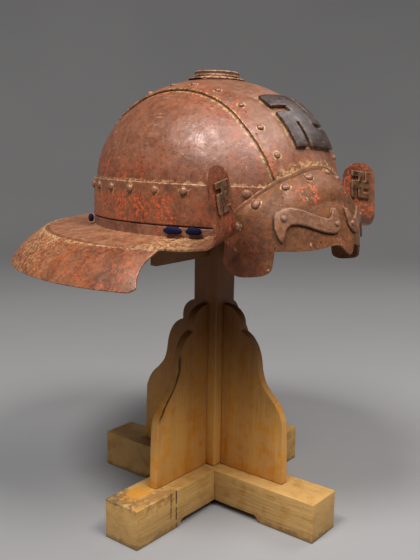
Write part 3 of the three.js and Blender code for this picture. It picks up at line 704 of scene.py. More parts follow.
brow_wear = {
    "rim": rim_nearness(brow_grid) * np.where(below_hem < 0.002, 1, 0.5),
    "dust": np.clip(0.55 * np.exp(-above / 0.0012) + 0.7 * beside(brow_grid, places, BROW_RIVETS[:, 2] * 1.2, 0.0008)
                    + 0.55 * np.exp(-below_hem / 0.0012), 0, 1),
    # Painted shade: under, above and past the hooked end of each eyebrow, round the rivet feet, and a patch low on
    # the near temple tab shaded by the ear.
    "grime": np.clip(np.exp(-under / 0.0013) + 0.3 * np.exp(-above / 0.0008)
                     + 0.9 * beside(brow_grid, places, BROW_RIVETS[:, 2] * 0.95, 0.0005)
                     + np.exp(-past_end / 0.0009)
                     + 0.5 * np.exp(-((brow_at + 36) / 5) ** 2 - ((brow_z + 0.062) / 0.006) ** 2), 0, 1),
    # Painted shade on the near temple tab, laid on as the darker, redder coat.
    "deep": 0.95 * smooth(-brow_at, 27, 33) * smooth(-brow_z, 0.016, 0.045),
    "red": 0.12 + 0.88 * np.clip(dabs, 0, 1)}
brow_finish = lacquered_iron("lacquer_brow", (0.080, 0.025, 0.007), (0.160, 0.056, 0.017),
                             (0.235, 0.102, 0.036), dust=0.4, primer=0.15, seed=21.0, roughness=0.56,
                             shine=0.4, worn=0.85)
dress(plate("brow_plate_shell", brow_grid, thinned=feather, **brow_wear), brow_finish,
      "lacquered_iron", "brow_plate")
dress(rivets("brow_plate_rivets", places, brow_normal(BROW_RIVETS[:, 0], BROW_RIVETS[:, 1]),
             BROW_RIVETS[:, 2], seed=8), rivet_finish, "lacquered_iron", "brow_plate")

# ---------------------------------------------------------------- eyebrows
# Two curled eyebrows cut from thick plate, rounded at the edges and fixed flat on
# the brow plate by a rivet at each end.


def eyebrow(side):
    """A closed lens on the brow plate: between the two edges its height is the
    thickness times (1 - |2t - 1|^12)^0.4, brought to nothing at its ends."""
    turns = np.linspace(EYEBROW[0, 0], EYEBROW[-1, 0], 150)
    low = eased(turns, EYEBROW[:, 0], EYEBROW[:, 1])
    high = eased(turns, EYEBROW[:, 0], EYEBROW[:, 2])
    t = np.linspace(0, 1, 25)
    t = 0.5 - 0.5 * np.cos(np.pi * t)
    rise = (1 - np.abs(2 * t - 1) ** 12) ** 0.4
    ends = np.clip(np.minimum(turns - turns[0], turns[-1] - turns) / 0.35, 0, 1) ** 0.5
    z = low[:, None] + (high - low)[:, None] * t[None]
    turn = np.broadcast_to(side * turns[:, None], z.shape)
    face = brow(turn, z, 0.0)
    out = brow_normal(turn, z)
    front = face + out * (GAP + EYEBROW_THICK * rise[None] * ends[:, None])[..., None]
    back = (face + out * GAP)[:, 1:-1][:, ::-1]
    loop = np.concatenate([front, back], 1)
    loop = np.concatenate([loop, loop[:, :1]], 1)
    if side < 0:
        loop = loop[::-1]
    rim = np.concatenate([np.exp(-np.minimum(t, 1 - t) / 0.02), np.zeros(24)])
    rows = len(loop)
    columns = loop.shape[1]
    faces = cells(rows, columns)
    caps = [list(range(columns - 2, -1, -1)), [(rows - 1) * columns + k for k in range(columns - 1)]]
    points = seated(loop)
    piece = mesh_object(f"eyebrow_{'left' if side > 0 else 'right'}_form", points, faces + caps,
                        rim=np.broadcast_to(rim * 0.8, loop.shape[:2]))
    return merge_seam(piece)


eyebrow_finish = lacquered_iron("lacquer_eyebrow", (0.125, 0.042, 0.015), (0.22, 0.085, 0.036),
                                (0.36, 0.185, 0.09), dust=0.5, primer=0.12, seed=27.0, roughness=0.50, worn=0.45)
for side, hand in ((1, "left"), (-1, "right")):
    dress(eyebrow(side), eyebrow_finish, "lacquered_iron", f"eyebrow_{hand}")
    spots = np.array([(4.4, -0.0265), (24.3, -0.0228)]) * [side, 1]
    out = brow_normal(spots[:, 0], spots[:, 1])
    places = brow(spots[:, 0], spots[:, 1], 0.0) + out * (GAP + EYEBROW_THICK)
    dress(rivets(f"eyebrow_{hand}_rivets", places, out, 0.0025, seed=11), rivet_finish,
          "lacquered_iron", f"eyebrow_{hand}")


# ---------------------------------------------------------------- crown flange and ring
# A thin dished washer and a low spool-shaped ring, turned up at its lip, that
# finish the middle of the bowl.  Both are lacquered iron, worn bright on top.
CROWN_TOP = RISE + LAP
WASHER, RING_HOLE = 0.0013, 0.0162


def crown_fall(r):
    """How far the bowl drops at radius r from its top."""
    return 0.5 * RISE * r**2 / HALF_LENGTH**2


def turned_form(name, profile, steps=96, rim=None):
    """A closed (radius, height) profile revolved round the crown."""
    profile = np.array([*profile, profile[0]])
    around = np.linspace(0, 2 * np.pi, steps, endpoint=False)
    grid = np.stack([profile[None, :, 0] * np.cos(around)[:, None],
                     profile[None, :, 0] * np.sin(around)[:, None],
                     np.broadcast_to(profile[:, 1], (steps, len(profile)))], -1)
    rim = np.zeros(len(profile)) if rim is None else np.array([*rim, rim[0]])
    faces = cells(steps, len(profile), closed=True)
    return merge_seam(mesh_object(name, seated(grid), faces, rim=np.broadcast_to(rim, grid.shape[:2])))


flange_r = np.linspace(0.0132, 0.0246, 9)
flange_foot = CROWN_TOP + GAP - crown_fall(flange_r)
flange = [(r, z) for r, z in zip(flange_r, flange_foot)]
flange += [(0.025, flange_foot[-1] + 0.0004), (0.0249, flange_foot[-1] + 0.001)]
flange += [(r, z + WASHER) for r, z in zip(flange_r[::-1], flange_foot[::-1])]
dress(turned_form("crown_flange_washer", flange, rim=[0] * 8 + [0.6, 1, 1, 0.8] + [0.3] * 8),
      top_finish, "lacquered_iron_fittings", "crown_flange")
ring_low = CROWN_TOP + 2 * GAP + WASHER - crown_fall(RING_HOLE)
ring_high = CROWN_TOP + 0.0056
ring = [(RING_HOLE, ring_low + 0.0003), (0.0165, ring_low), (0.0192, ring_low), (0.0194, ring_low + 0.0005),
        (0.0191, ring_low + 0.0011), (0.019, ring_low + 0.002), (0.0192, ring_high - 0.0018),
        (0.0197, ring_high - 0.0011), (0.0198, ring_high - 0.0005), (0.0195, ring_high),
        (0.0186, ring_high), (0.0174, ring_high - 0.0004), (0.0165, ring_high - 0.0012),
        (RING_HOLE, ring_high - 0.0022)]
ring_finish = lacquered_iron("lacquer_crown_ring", (0.12, 0.047, 0.026), (0.22, 0.107, 0.059),
                             (0.4, 0.233, 0.141), dust=0.6, primer=0.5, seed=33.0, roughness=0.36,
                             worn=0.85, worn_colour=(0.5, 0.316, 0.178))
dress(turned_form("crown_ring_spool", ring, rim=[0, 0, 0.5, 0.9, 0.8, 0.2, 0.1, 0.5, 0.9, 1, 0.6, 0.3, 0, 0]),
      ring_finish, "lacquered_iron_fittings", "crown_ring")

# ---------------------------------------------------------------- front crest
# A left-facing manji cut from 3 mm plate in dark lacquer, bent to the top plate's
# curve and filed to a bevel all round that is worn down to a golden line.
def fine_edges(edges, splits):
    """Each stretch between two edges cut into `splits` equal steps."""
    steps = [np.linspace(a, b, splits, endpoint=False) for a, b in zip(edges[:-1], edges[1:])]
    return np.concatenate([*steps, [edges[-1]]])


def manji(name, columns, rows, splits, thickness, edge, at):
    """The pattern's cells as one sheet: `at(column, row)` places its front face,
    and only the corners that a cell uses are kept."""
    c, r = fine_edges(columns, splits), fine_edges(rows, splits)
    grid = at(*np.meshgrid(c, r, indexing="ij"))
    i, j = np.meshgrid(np.arange(len(c) - 1), np.arange(len(r) - 1), indexing="ij")
    keep = MANJI[j // splits, i // splits]
    n = len(r)
    a = (i * n + j)[keep]
    quads = np.stack([a, a + n, a + n + 1, a + 1], -1)
    middle = grid.reshape(-1, 3)[quads[0]]
    facing = np.cross(middle[1] - middle[0], middle[3] - middle[0])
    if facing[1] > 0:
        quads = quads[:, ::-1]
    used, faces = np.unique(quads, return_inverse=True)
    points = grid.reshape(-1, 3)[used]
    count = np.bincount(quads.ravel(), minlength=grid.reshape(-1, 3).shape[0])[used]
    piece = mesh_object(name, seated(points), faces.reshape(-1, 4).tolist(),
                        rim=(count < 4).astype(float))
    finish_plate(piece, thickness, edge)
    piece.modifiers["rim"].segments = 3
    return piece


def crest_place(x, angle):
    """The crest's front face, over the crown, leaning by CREST_SLANT a degree."""
    return over_crown(x + CREST_SLANT * (CREST_ROWS[2] - angle), angle, LAP + GAP + CREST_THICK)


crest_finish = lacquered_iron("lacquer_dark", (0.020, 0.010, 0.009), (0.042, 0.022, 0.018),
                              (0.11, 0.060, 0.045), dust=0.30, primer=0.10, seed=41.0, roughness=0.36,
                              shine=0.45, worn=0.55, worn_colour=(0.20, 0.12, 0.08))
crest = manji("front_crest_figure", CREST_COLUMNS, CREST_ROWS, 6, CREST_THICK, 0.0011, crest_place)
dress(crest, crest_finish, "dark_lacquer", "front_crest")


# ---------------------------------------------------------------- neck guard, upper plate
# One plate: a near-level shelf round the bowl, creased down into a lip behind, its
# front ends turned up as two broad rounded ears, and a collar riveted in the band.
CREASE = (0.1342, 0.1506, 0.0102, -0.0416, 0.0022)
SKIRT_EDGE = (0.1633, 0.1779, 0.0149, -0.070, 0.0013)
GUARD_TILT, COLLAR_TOP, SHELF_Z, SHELF_HIGHEST = 0.052, -0.020, -0.037, -0.0354
LIP, CREASE_SHARE = 0.007, 0.87
EAR_WIDTH, EAR_TOE, EAR_BEND = 0.0344, math.radians(18.4), 0.009
EAR_REACH = {1: 0.1006, -1: 0.1032}
EAR_PEAK = {1: 0.0201, -1: 0.0149}
EAR_FOOT_Y, EAR_FOOT_INNER, EAR_FOOT_OUTER = -0.1034, -0.0256, -0.0299
EAR_LEAN_OUT, EAR_LEAN_BACK = 0.12, 0.15


def guard_line(line, turn):
    """An oval set back from the bowl: x = a sin(turn), y = back - b cos(turn),
    rising a little towards the rear."""
    half_width, half_length, back, z, rise = line
    t = np.radians(turn)
    return np.stack([half_width * np.sin(t), back - half_length * np.cos(t),
                     z + rise * (1 - np.cos(t)) / 2], -1)


def hung(p):
    """The guard hangs lower on the wearer's right, by its tilt times x."""
    return p + np.stack([0 * p[..., 0], 0 * p[..., 0], GUARD_TILT * p[..., 0]], -1)


def shelf_inner(x):
    """Height of the shelf where it meets the collar."""
    return np.minimum(SHELF_Z + x * GUARD_TILT, SHELF_HIGHEST)


def shelf_line(turn, across):
    """Lines out over the shelf: straight from the collar to the crease for
    across = 0 to CREASE_SHARE, then down the lip to 1."""
    from_front = np.minimum(turn, 360 - turn)
    inner = bowl(turn, 0.0, -0.0009)
    inner[..., 2] = shelf_inner(inner[..., 0])
    edge = hung(guard_line(CREASE, turn))
    below = unit(hung(guard_line(SKIRT_EDGE, turn)) - edge) * LIP
    lipped = smooth(from_front, 61.5, 66)[..., None]
    drawn_in = LAP * smooth(from_front, 57.5, 60.5)[..., None]
    edge = edge - bowl_normal(inner * [1, 1, 0]) * drawn_in
    outer = edge + below * lipped
    crease = inner + (edge - inner) * (CREASE_SHARE + (0.985 - CREASE_SHARE) * lipped)
    share = np.clip(across / CREASE_SHARE, 0, 1)[None, :, None]
    last = np.clip((across - CREASE_SHARE) / (1 - CREASE_SHARE), 0, 1)[None, :, None]
    line = inner[:, None] + (crease - inner)[:, None] * share + (outer - crease)[:, None] * last
    fillet = np.exp(-share * 22) * 0.0021
    return line + np.concatenate([0 * fillet, 0 * fillet, fillet], -1)


def ear_frame(side):
    """Foot line, up, across, forward and level directions of an ear's upright."""
    outward = np.array([side * math.cos(EAR_TOE), -math.sin(EAR_TOE), 0])

    def foot(c):
        """A point of the foot line, from its inner end (0) to its outer end (1)."""
        c = np.asarray(c, float)[..., None]
        z = EAR_FOOT_INNER + (EAR_FOOT_OUTER - EAR_FOOT_INNER) * c
        base = np.concatenate([np.full_like(c, side * EAR_REACH[side]), np.full_like(c, EAR_FOOT_Y), z], -1)
        return hung(base + outward * (c - 1) * EAR_WIDTH)
    up = np.array([side * EAR_LEAN_OUT, EAR_LEAN_BACK, 1.0])
    along = unit(foot(1.0) - foot(0.0))
    front = unit(np.cross(along, up)) * side
    level = -np.array([side * -outward[1], side * outward[0], 0])
    return foot, up, along, front, level


def ear_grid(side, across):
    """From the rounded top (a squarish oval of exponent 2.4) down the upright,
    then through a quarter circle of bend at its foot."""
    foot, up, _, _, level = ear_frame(side)
    cap = EAR_WIDTH * 0.46
    curve = (1 - np.abs(2 * across - 1) ** 2.4) ** (1 / 2.4)
    top = EAR_PEAK[side] - cap * (1 - curve)
    base = foot(across)
    f = np.concatenate([1 - np.linspace(0, 0.3, 14) ** 1.3, np.linspace(0.76, 0.06, 26)])
    upright = base[None] + up * (f[:, None] * (top - base[:, 2])[None])[..., None]
    a = np.radians(np.linspace(90, 0, 12))
    bend = base[None] + level * (EAR_BEND * (np.sin(a) - 1))[:, None, None]
    bend = bend - np.array([0, 0, 1.0]) * (EAR_BEND * np.cos(a))[:, None, None]
    return np.concatenate([upright, bend])


t = np.linspace(0, 1, 34)
shelf_across = np.concatenate([CREASE_SHARE * (0.45 * t + 0.55 * t**2.2), np.linspace(0.885, 1, 6)])
shelf_turns = np.concatenate([[54.5], np.linspace(56, 304, 190), [305.5]])
guard_grid = np.concatenate([ear_grid(1, shelf_across), shelf_line(shelf_turns, shelf_across),
                             ear_grid(-1, shelf_across)[::-1]])
guard_grid = guard_grid[::-1]
guard_rim = rim_nearness(guard_grid)
guard_rim[:, :6] *= np.linspace(0, 1, 6)
ears = len(ear_grid(1, shelf_across))
from_collar = np.broadcast_to(shelf_across, guard_grid.shape[:2])
is_shelf = np.zeros(len(guard_grid))
is_shelf[ears:-ears] = 1
far_ear = np.arange(len(guard_grid)) >= len(guard_grid) - ears
near_ear = np.arange(len(guard_grid)) < ears
down_ear = np.minimum(np.arange(len(guard_grid)), len(guard_grid) - 1 - np.arange(len(guard_grid)))
fade = 1 - smooth(down_ear, ears - 14, ears + 4)
is_shelf, far_ear, near_ear = (v[:, None] * w for v, w in (
    (is_shelf, 1.0), (far_ear, fade[:, None]), (near_ear, fade[:, None])))
front_bare = np.exp(-(down_ear[:, None] - ears - 4) ** 2 / 60)
guard_wear = {
    "rim": guard_rim * (0.35 + 0.65 * is_shelf),
    "dust": is_shelf * np.clip(0.22 + 0.42 * np.exp(-from_collar / 0.09) + 0.6 * front_bare, 0, 1),
    # Painted shade: in the corner at the collar's foot and in the crease above the skirt's edge.
    "grime": is_shelf * np.clip(0.5 * np.exp(-from_collar / 0.012)
                                + np.exp(-((from_collar - 0.896) / 0.013) ** 2), 0, 1),
    "deep": 0.9 * far_ear + 0.85 * near_ear + 0 * from_collar,
    "red": 0.15 + 0.5 * far_ear + 0.3 * near_ear + 0 * from_collar}
guard_finish = lacquered_iron("lacquer_guard", (0.17, 0.058, 0.026), (0.32, 0.132, 0.063),
                              (0.48, 0.26, 0.14), dust=0.6, primer=0.22, seed=47.0, roughness=0.48,
                              shine=0.5, worn=0.6)
dress(plate("neck_guard_upper_shelf", guard_grid, **guard_wear), guard_finish, "lacquered_iron",
      "neck_guard_upper")

collar_turns = np.linspace(47.5, 312.5, 156)
collar_foot = bowl(collar_turns, 0.0, 0.0)
collar_heights = np.linspace(0, 1, 30)
low = shelf_inner(collar_foot[:, 0]) - PLATE / 2
collar_z = low[:, None] + (COLLAR_TOP - low)[:, None] * collar_heights
collar_grid = bowl(collar_turns[:, None], 0.0, 0.0016 * smooth(-collar_z, 0.0325, 0.0342))
collar_grid[..., 2] = collar_z
# The collar's lacquer is a little lighter than the band's, partly a painted lift against the shade of its recess
# behind the band.
collar_finish = lacquered_iron("lacquer_collar", (0.15, 0.051, 0.026), (0.27, 0.102, 0.052),
                               (0.38, 0.186, 0.104), dust=0.4, primer=0.5, seed=52.0)
dress(plate("neck_guard_upper_collar", collar_grid, rim=np.zeros(collar_grid.shape[:2])),
      collar_finish, "lacquered_iron", "neck_guard_upper")

# ---------------------------------------------------------------- neck guard, lower plate
# The skirt: a second plate that hangs from the crease, flared and slightly bowed
# outwards, with a plain hammered hem.
SKIRT_FROM, SKIRT_TO, SKIRT_HOLLOW, SKIRT_SWEEP = 76, 298.7, 1.8, 0.9
SKIRT_CORNER, CORNER_CUT, SKIRT_BULGE = 0.014, 0.1, 0.0026
share = np.concatenate([np.linspace(0, SKIRT_CORNER, 14, endpoint=False),
                        np.linspace(SKIRT_CORNER, 1 - SKIRT_CORNER, 240),
                        np.linspace(1 - SKIRT_CORNER, 1, 15)[1:]])[:, None]
corner = np.clip(1 - np.minimum(share, 1 - share) / SKIRT_CORNER, 0, 1)
v = np.linspace(0.04, 1, 64)[None] * (1 - CORNER_CUT * corner**2)
front_edge = SKIRT_TO - SKIRT_HOLLOW * np.sin(np.pi * v) - SKIRT_SWEEP * v
skirt_turns = SKIRT_FROM + (front_edge - SKIRT_FROM) * share
out = bowl_normal(bowl(skirt_turns, 0.0, 0.0))
out[..., 2] = 0.9
skirt_high, skirt_low = hung(guard_line(CREASE, skirt_turns)), hung(guard_line(SKIRT_EDGE, skirt_turns))
skirt_grid = (skirt_high + (skirt_low - skirt_high) * v[..., None]
              + unit(out) * SKIRT_BULGE * np.sin(np.pi * v)[..., None])[:, ::-1]
from_crease = (v * 0.043)[:, ::-1]
rearward = (smooth(skirt_turns, 288, 252) * smooth(skirt_turns, 200, 240))[:, ::-1]
# Dust along the crease edge; over the rear part of the near side the dust also stands for painted light.
skirt_wear = {"dust": np.clip(np.exp(-(from_crease - 0.0017) / 0.0016)
                             + 0.52 * rearward * smooth(from_crease, 0.140, 0.01), 0, 1),
              "deep": 0.45 * smooth(skirt_turns, 262, 290)[:, ::-1] + 0 * from_crease,
              "red": 0.4 + 0 * from_crease}
skirt_finish = lacquered_iron("lacquer_skirt", (0.13, 0.037, 0.013), (0.28, 0.096, 0.036),
                              (0.40, 0.18, 0.08), dust=0.5, primer=0.3, seed=61.0, roughness=0.50,
                              shine=0.55, worn=0.6)
dress(plate("neck_guard_lower_skirt", skirt_grid, **skirt_wear), skirt_finish, "lacquered_iron",
      "neck_guard_lower")


# ---------------------------------------------------------------- ear crests
# A small manji on each ear, cut from 2 mm copper and turned green and brown.
def copper():
    """Copper with brown tarnish, green in the hollows and bare on its edges."""
    material, tree, shader = finish("copper_patina")
    tarnish = between(tree, grain(tree, 160, 5), 0.38, 0.62)
    colour = layer(tree, tarnish, (0.045, 0.017, 0.008), (0.15, 0.060, 0.025))
    green = between(tree, grain(tree, 240, 4, shift=4), 0.45, 0.6)
    colour = layer(tree, times(tree, green, 0.40), colour, (0.075, 0.070, 0.030))
    ragged = between(tree, grain(tree, 300, 4, shift=9), 0.35, 0.65, 0.3, 1.2)
    rub = times(tree, painted(tree, "rim"), ragged)
    colour = layer(tree, times(tree, rub, 0.6), colour, (0.34, 0.15, 0.07))
    tree.links.new(colour, shader.inputs["Base Color"])
    tree.links.new(between(tree, green, 0, 1, 0.38, 0.72), shader.inputs["Roughness"])
    shader.inputs["Metallic"].default_value = 0.3
    tree.links.new(relief(tree, (grain(tree, 500, 4), 0.0002)), shader.inputs["Normal"])
    return material


copper_finish = copper()
ear_columns = np.array([-10, -4.8, -2.7, 2.7, 4.8, 10]) / 1000
ear_rows = np.array([11.4, 6.7, 3.3, -3.3, -6.7, -11.4]) / 1000
EAR_CREST_THICK = 0.002
for side, hand in ((1, "left"), (-1, "right")):
    foot, up, along, front, _ = ear_frame(side)
    middle = foot(0.5) + up * 0.0245 + front * (PLATE + GAP + EAR_CREST_THICK)

    def ear_place(x, z):
        """Metres across the ear and up it from the figure's middle."""
        return middle + along * side * x[..., None] + up * z[..., None]
    figure = manji(f"ear_crest_{hand}_figure", ear_columns, ear_rows, 4, EAR_CREST_THICK, 0.0006, ear_place)
    dress(figure, copper_finish, "patinated_copper", f"ear_crest_{hand}")


# ---------------------------------------------------------------- laces
# Ends of navy braided silk cord, pulled through the collar and sewn flat against
# it: two to a side behind each ear and one more towards the nape.
def silk():
    """Dark blue silk, each strand lit along its own length."""
    material, tree, shader = finish("silk_navy")
    strands = between(tree, painted(tree, "strand"), 0.2, 0.9)
    fuzz = between(tree, grain(tree, 900, 3), 0.35, 0.65)
    colour = layer(tree, strands, (0.001, 0.001, 0.004), (0.006, 0.008, 0.045))
    colour = layer(tree, times(tree, fuzz, 0.25), colour, (0.015, 0.016, 0.045))
    tree.links.new(colour, shader.inputs["Base Color"])
    shader.inputs["Roughness"].default_value = 0.7
    shader.inputs["Sheen Weight"].default_value = 0.03
    shader.inputs["Specular IOR Level"].default_value = 0.12
    tree.links.new(relief(tree, (strands, 0.0003), (fuzz, 0.0001)), shader.inputs["Normal"])
    return material


silk_finish = silk()
LACE_DEPTH, LACE_RISE = 0.0024, 0.0034
# turn from the brow, length, height above the shelf (degrees, metres)
LACES = ((57.3, 0.0135, 0.0058), (66, 0.0165, 0.0058), (127, 0.009, 0.0054))


def braid(name, turn, length, height):
    """A flat cord doubled on itself against the collar: an oval tube, tapered at
    both ends where it dives through the plate and nipped in the middle, with a
    braid of two crossing waves on it."""
    rows, steps = 90, 40
    s = np.linspace(-1, 1, rows)[:, None]
    a = np.linspace(0, 2 * np.pi, steps, endpoint=False)[None]
    taper = (1 - np.abs(s) ** 2.6) ** 0.62
    nip = 1 - 0.22 * np.exp(-((s - 0.12) / 0.16) ** 2) * (length > 0.012)
    first = np.sin(length * 560 * s * np.pi + 2 * a)
    second = np.sin(length * 560 * s * np.pi - 2 * a)
    weave = np.maximum(first, second)
    swell = (1 - 0.07 * (1 - weave)) * taper
    across = LACE_DEPTH * np.sign(np.cos(a)) * np.abs(np.cos(a)) ** 0.9 * swell
    high = LACE_RISE * np.sign(np.sin(a)) * np.abs(np.sin(a)) ** 0.9 * swell * nip - 0.0006 * s**2
    run = length / 2 * s * 0.99 + 0 * a
    middle = bowl(np.array(turn), 0.0, LAP + GAP + LACE_DEPTH)
    middle[2] = shelf_inner(middle[0]) + height
    outward = bowl_normal(middle * [1, 1, 0])
    along = np.array([-outward[1], outward[0], 0])
    local = middle + across[..., None] * outward + run[..., None] * along + high[..., None] * [0, 0, 1]
    points = np.concatenate([local[0].mean(0)[None], local[1:-1].reshape(-1, 3), local[-1].mean(0)[None]])
    strand = np.concatenate([[0.0], weave[1:-1].ravel() * 0.5 + 0.5, [0.0]])
    faces = [f for kind in pole_faces(rows - 2, steps) for f in kind.tolist()]
    return mesh_object(name, seated(points), faces, strand=strand)


for side, hand in ((1, "left"), (-1, "right")):
    for number, (turn_at, length, height) in enumerate(LACES, 1):
        cord = braid(f"lace_{hand}_{number}_cord", side * turn_at, length, height)
        dress(cord, silk_finish, "silk_cord", f"lace_{hand}_{number}")


# ---------------------------------------------------------------- stand
# Plain oiled cypress: two foot beams halved into each other on edge, a square post,
# four curved braces glued between them, and four ribs that the bowl rests on.
BEAM_WIDTH, BEAM_HEIGHT, POST_WIDTH, POST_TOP = 0.037, 0.0355, 0.0266, 0.378
RECESS, BRACE, RIB, RIB_CLEAR = 0.0056, 0.008, 0.007, 0.004
SIDE_REACH, FRONT_REACH = 0.0825, 0.056


def cypress(name, along, seed, deep, light, pale, stain=None):
    """Softwood: fine pale and dark growth lines drawn out along the board, slow
    bands of warmer colour, small dark pores and handled grey on the edges."""
    material, tree, shader = finish(name)

    def laid(share, strength, over):
        """The colour so far with `over` laid on it."""
        return layer(tree, times(tree, share, strength), colour, over)
    stretch = [1.0, 1.0, 1.0]
    stretch[along] = 0.045
    bands = between(tree, grain(tree, 75, 4, tuple(stretch), seed, 0.55, 0.25), 0.36, 0.64)
    lines = between(tree, grain(tree, 620, 5, tuple(stretch), seed + 2, 0.65), 0.42, 0.60)
    colour = layer(tree, bands, deep, light)
    colour = laid(lines, 0.30, pale)
    colour = laid(between(tree, grain(tree, 14, 5, shift=seed + 5, rough=0.6), 0.40, 0.66), 0.4, pale)
    handled = between(tree, grain(tree, 22, 5, shift=seed + 15, rough=0.6), 0.50, 0.74)
    colour = laid(handled, 0.2, tuple(0.6 * v for v in deep))
    pores = between(tree, grain(tree, 700, 2, (1, 1, 1), seed + 6), 0.70, 0.74)
    colour = laid(pores, 0.4, (0.16, 0.06, 0.015))
    specks = between(tree, grain(tree, 150, 2, (1, 1, 1), seed + 8), 0.745, 0.765)
    colour = laid(specks, 0.8, (0.10, 0.035, 0.012))
    ragged = between(tree, grain(tree, 90, 4, shift=seed), 0.3, 0.7, 0.4, 1.3)
    rub = between(tree, times(tree, painted(tree, "rim"), ragged), 0.45, 0.95)
    colour = laid(rub, 0.35, (0.62, 0.40, 0.16))
    if stain is not None:
        colour = stain(tree, colour)
    tree.links.new(colour, shader.inputs["Base Color"])
    tree.links.new(between(tree, lines, 0, 1, 0.50, 0.62), shader.inputs["Roughness"])
    shader.inputs["Specular IOR Level"].default_value = 0.4
    tree.links.new(relief(tree, (bands, 0.0003), (lines, 0.0001), (pores, -0.0003)), shader.inputs["Normal"])
    return material


def board(name, outline, thickness, heading, soft=0.0009):
    """A board cut to an outline of (reach, z), standing out from the post, with
    its arrises rounded.  `rim` is 1 on the outline of both faces."""
    outline = np.array(outline)
    h = math.radians(heading)
    out, side = np.array([math.cos(h), math.sin(h), 0]), np.array([-math.sin(h), math.cos(h), 0])
    up = np.array([0, 0, 1.0])
    flat = outline[:, :1] * out + outline[:, 1:] * up
    points = np.concatenate([flat - side * thickness / 2, flat + side * thickness / 2]) + POST
    n = len(outline)
    area = 0.5 * np.sum(outline[:, 0] * np.roll(outline[:, 1], -1) - np.roll(outline[:, 0], -1) * outline[:, 1])
    ring = list(range(n)) if area > 0 else list(range(n))[::-1]
    near = ring
    far = [k + n for k in ring[::-1]]
    walls = [[ring[(k + 1) % n], ring[k], ring[k] + n, ring[(k + 1) % n] + n] for k in range(n)]
    piece = mesh_object(name, points, [near, far, *walls], rim=np.ones(2 * n))
    arris = piece.modifiers.new("arris", "BEVEL")
    arris.width = soft
    arris.segments = 3
    arris.angle_limit = math.radians(35)
    return piece


def through(points, steps=6):
    """A smooth curve through the points: on each stretch the four-point blend
    that takes its slope from the two neighbours."""
    p = np.array([2 * np.array(points[0]) - points[1], *points, 2 * np.array(points[-1]) - points[-2]])
    t = np.linspace(0, 1, steps, endpoint=False)[:, None]
    runs = [0.5 * (2 * b + (c - a) * t + (2 * a - 5 * b + 4 * c - d) * t**2 + (3 * b - a - 3 * c + d) * t**3)
            for a, b, c, d in zip(p[:-3], p[1:-2], p[2:-1], p[3:])]
    return np.concatenate([*runs, p[-2:-1]])


def beam_outline(half, notch_high):
    """A foot beam seen from the side: pads at both ends, a shallow hollow between
    them, and half its height cut away where the other beam crosses it."""
    meet = BEAM_HEIGHT / 2 + (-GAP if notch_high else GAP) / 2
    cut = BEAM_WIDTH / 2 + GAP / 2
    slope = [(0.0635, RECESS), (0.0648, 0.0050), (0.0665, 0.0030), (0.0685, 0.0010), (0.070, 0)]
    end = [*slope, (half, 0), (half, BEAM_HEIGHT)]
    far = [(-x, z) for x, z in end][::-1]
    level = BEAM_HEIGHT if notch_high else RECESS
    notch = [(cut, level), (cut, meet), (-cut, meet), (-cut, level)]
    return [*end, *notch, *far] if notch_high else [*end, *far, *notch[::-1]]


def spot(tree, centre, scale):
    """Distance from a point given from the post, each axis divided by `scale`,
    with a ragged edge."""
    apart = tree.nodes.new("ShaderNodeCombineXYZ")
    for axis, value, middle, size in zip(range(3), from_post(tree), centre, scale):
        offset = sum_of(tree, "SUBTRACT", value, middle)
        tree.links.new(sum_of(tree, "DIVIDE", offset, size), apart.inputs[axis])
    length = tree.nodes.new("ShaderNodeVectorMath")
    length.operation = "LENGTH"
    tree.links.new(apart.outputs[0], length.inputs[0])
    ragged = between(tree, grain(tree, 140, 7, (1, 1, 1), 3, 0.75), 0.25, 0.75, -1.0, 1.0)
    return sum_of(tree, "ADD", length.outputs["Value"], ragged)


def line_down(tree, across, where, width, ragged):
    """1 on an upright line at `across` = where, fading out at `width` each side."""
    apart = sum_of(tree, "ABSOLUTE", sum_of(tree, "SUBTRACT", across, where), 0)
    return between(tree, sum_of(tree, "ADD", apart, ragged), width, 0.4 * width)


def foot_stain(tree, colour):
    """Spilt lacquer near the beam's end: orange on top, grey with dirt round it,
    and two dark runs down the side."""
    ahead, behind, _ = from_post(tree)
    dirt = between(tree, spot(tree, (-0.112, 0.007, BEAM_HEIGHT), (0.014, 0.015, 0.004)), 1.4, 0.5, 0, 0.8)
    colour = layer(tree, dirt, colour, (0.10, 0.065, 0.038))
    brown = between(tree, spot(tree, (-0.093, -0.013, BEAM_HEIGHT), (0.022, 0.009, 0.008)), 1.4, 0.5, 0, 0.7)
    colour = layer(tree, brown, colour, (0.24, 0.11, 0.035))
    orange = between(tree, spot(tree, (-0.099, 0.004, BEAM_HEIGHT), (0.015, 0.008, 0.006)), 1.2, 0.7, 0, 0.9)
    colour = layer(tree, orange, colour, (0.60, 0.255, 0.028))
    wobble = between(tree, grain(tree, 130, 4, (1, 1, 0.3), 7), 0.3, 0.7, -0.0002, 0.0006)
    runs = sum_of(tree, "MAXIMUM", line_down(tree, ahead, -0.0795, 0.0008, wobble),
                  line_down(tree, ahead, -0.0725, 0.0012, wobble))
    front_face = between(tree, behind, -0.0170, -0.0180)
    broken = between(tree, grain(tree, 170, 3, (0.3, 0.3, 1), 5), 0.36, 0.50)
    colour = layer(tree, times(tree, times(tree, runs, broken), front_face),
                   colour, (0.05, 0.018, 0.008))
    return darker_feet(tree, colour)


def darker_feet(tree, colour):
    """The beams darkened to a dull brown round their bottoms, up to about 5 mm from the floor."""
    high = from_post(tree)[2]
    edge = sum_of(tree, "ADD", high, between(tree, grain(tree, 70, 5, (1, 1, 1), 6, 0.7), 0.3, 0.7, -0.003, 0.003))
    return layer(tree, between(tree, edge, 0.0055, 0.002, 0, 0.6), colour, (0.15, 0.085, 0.03))


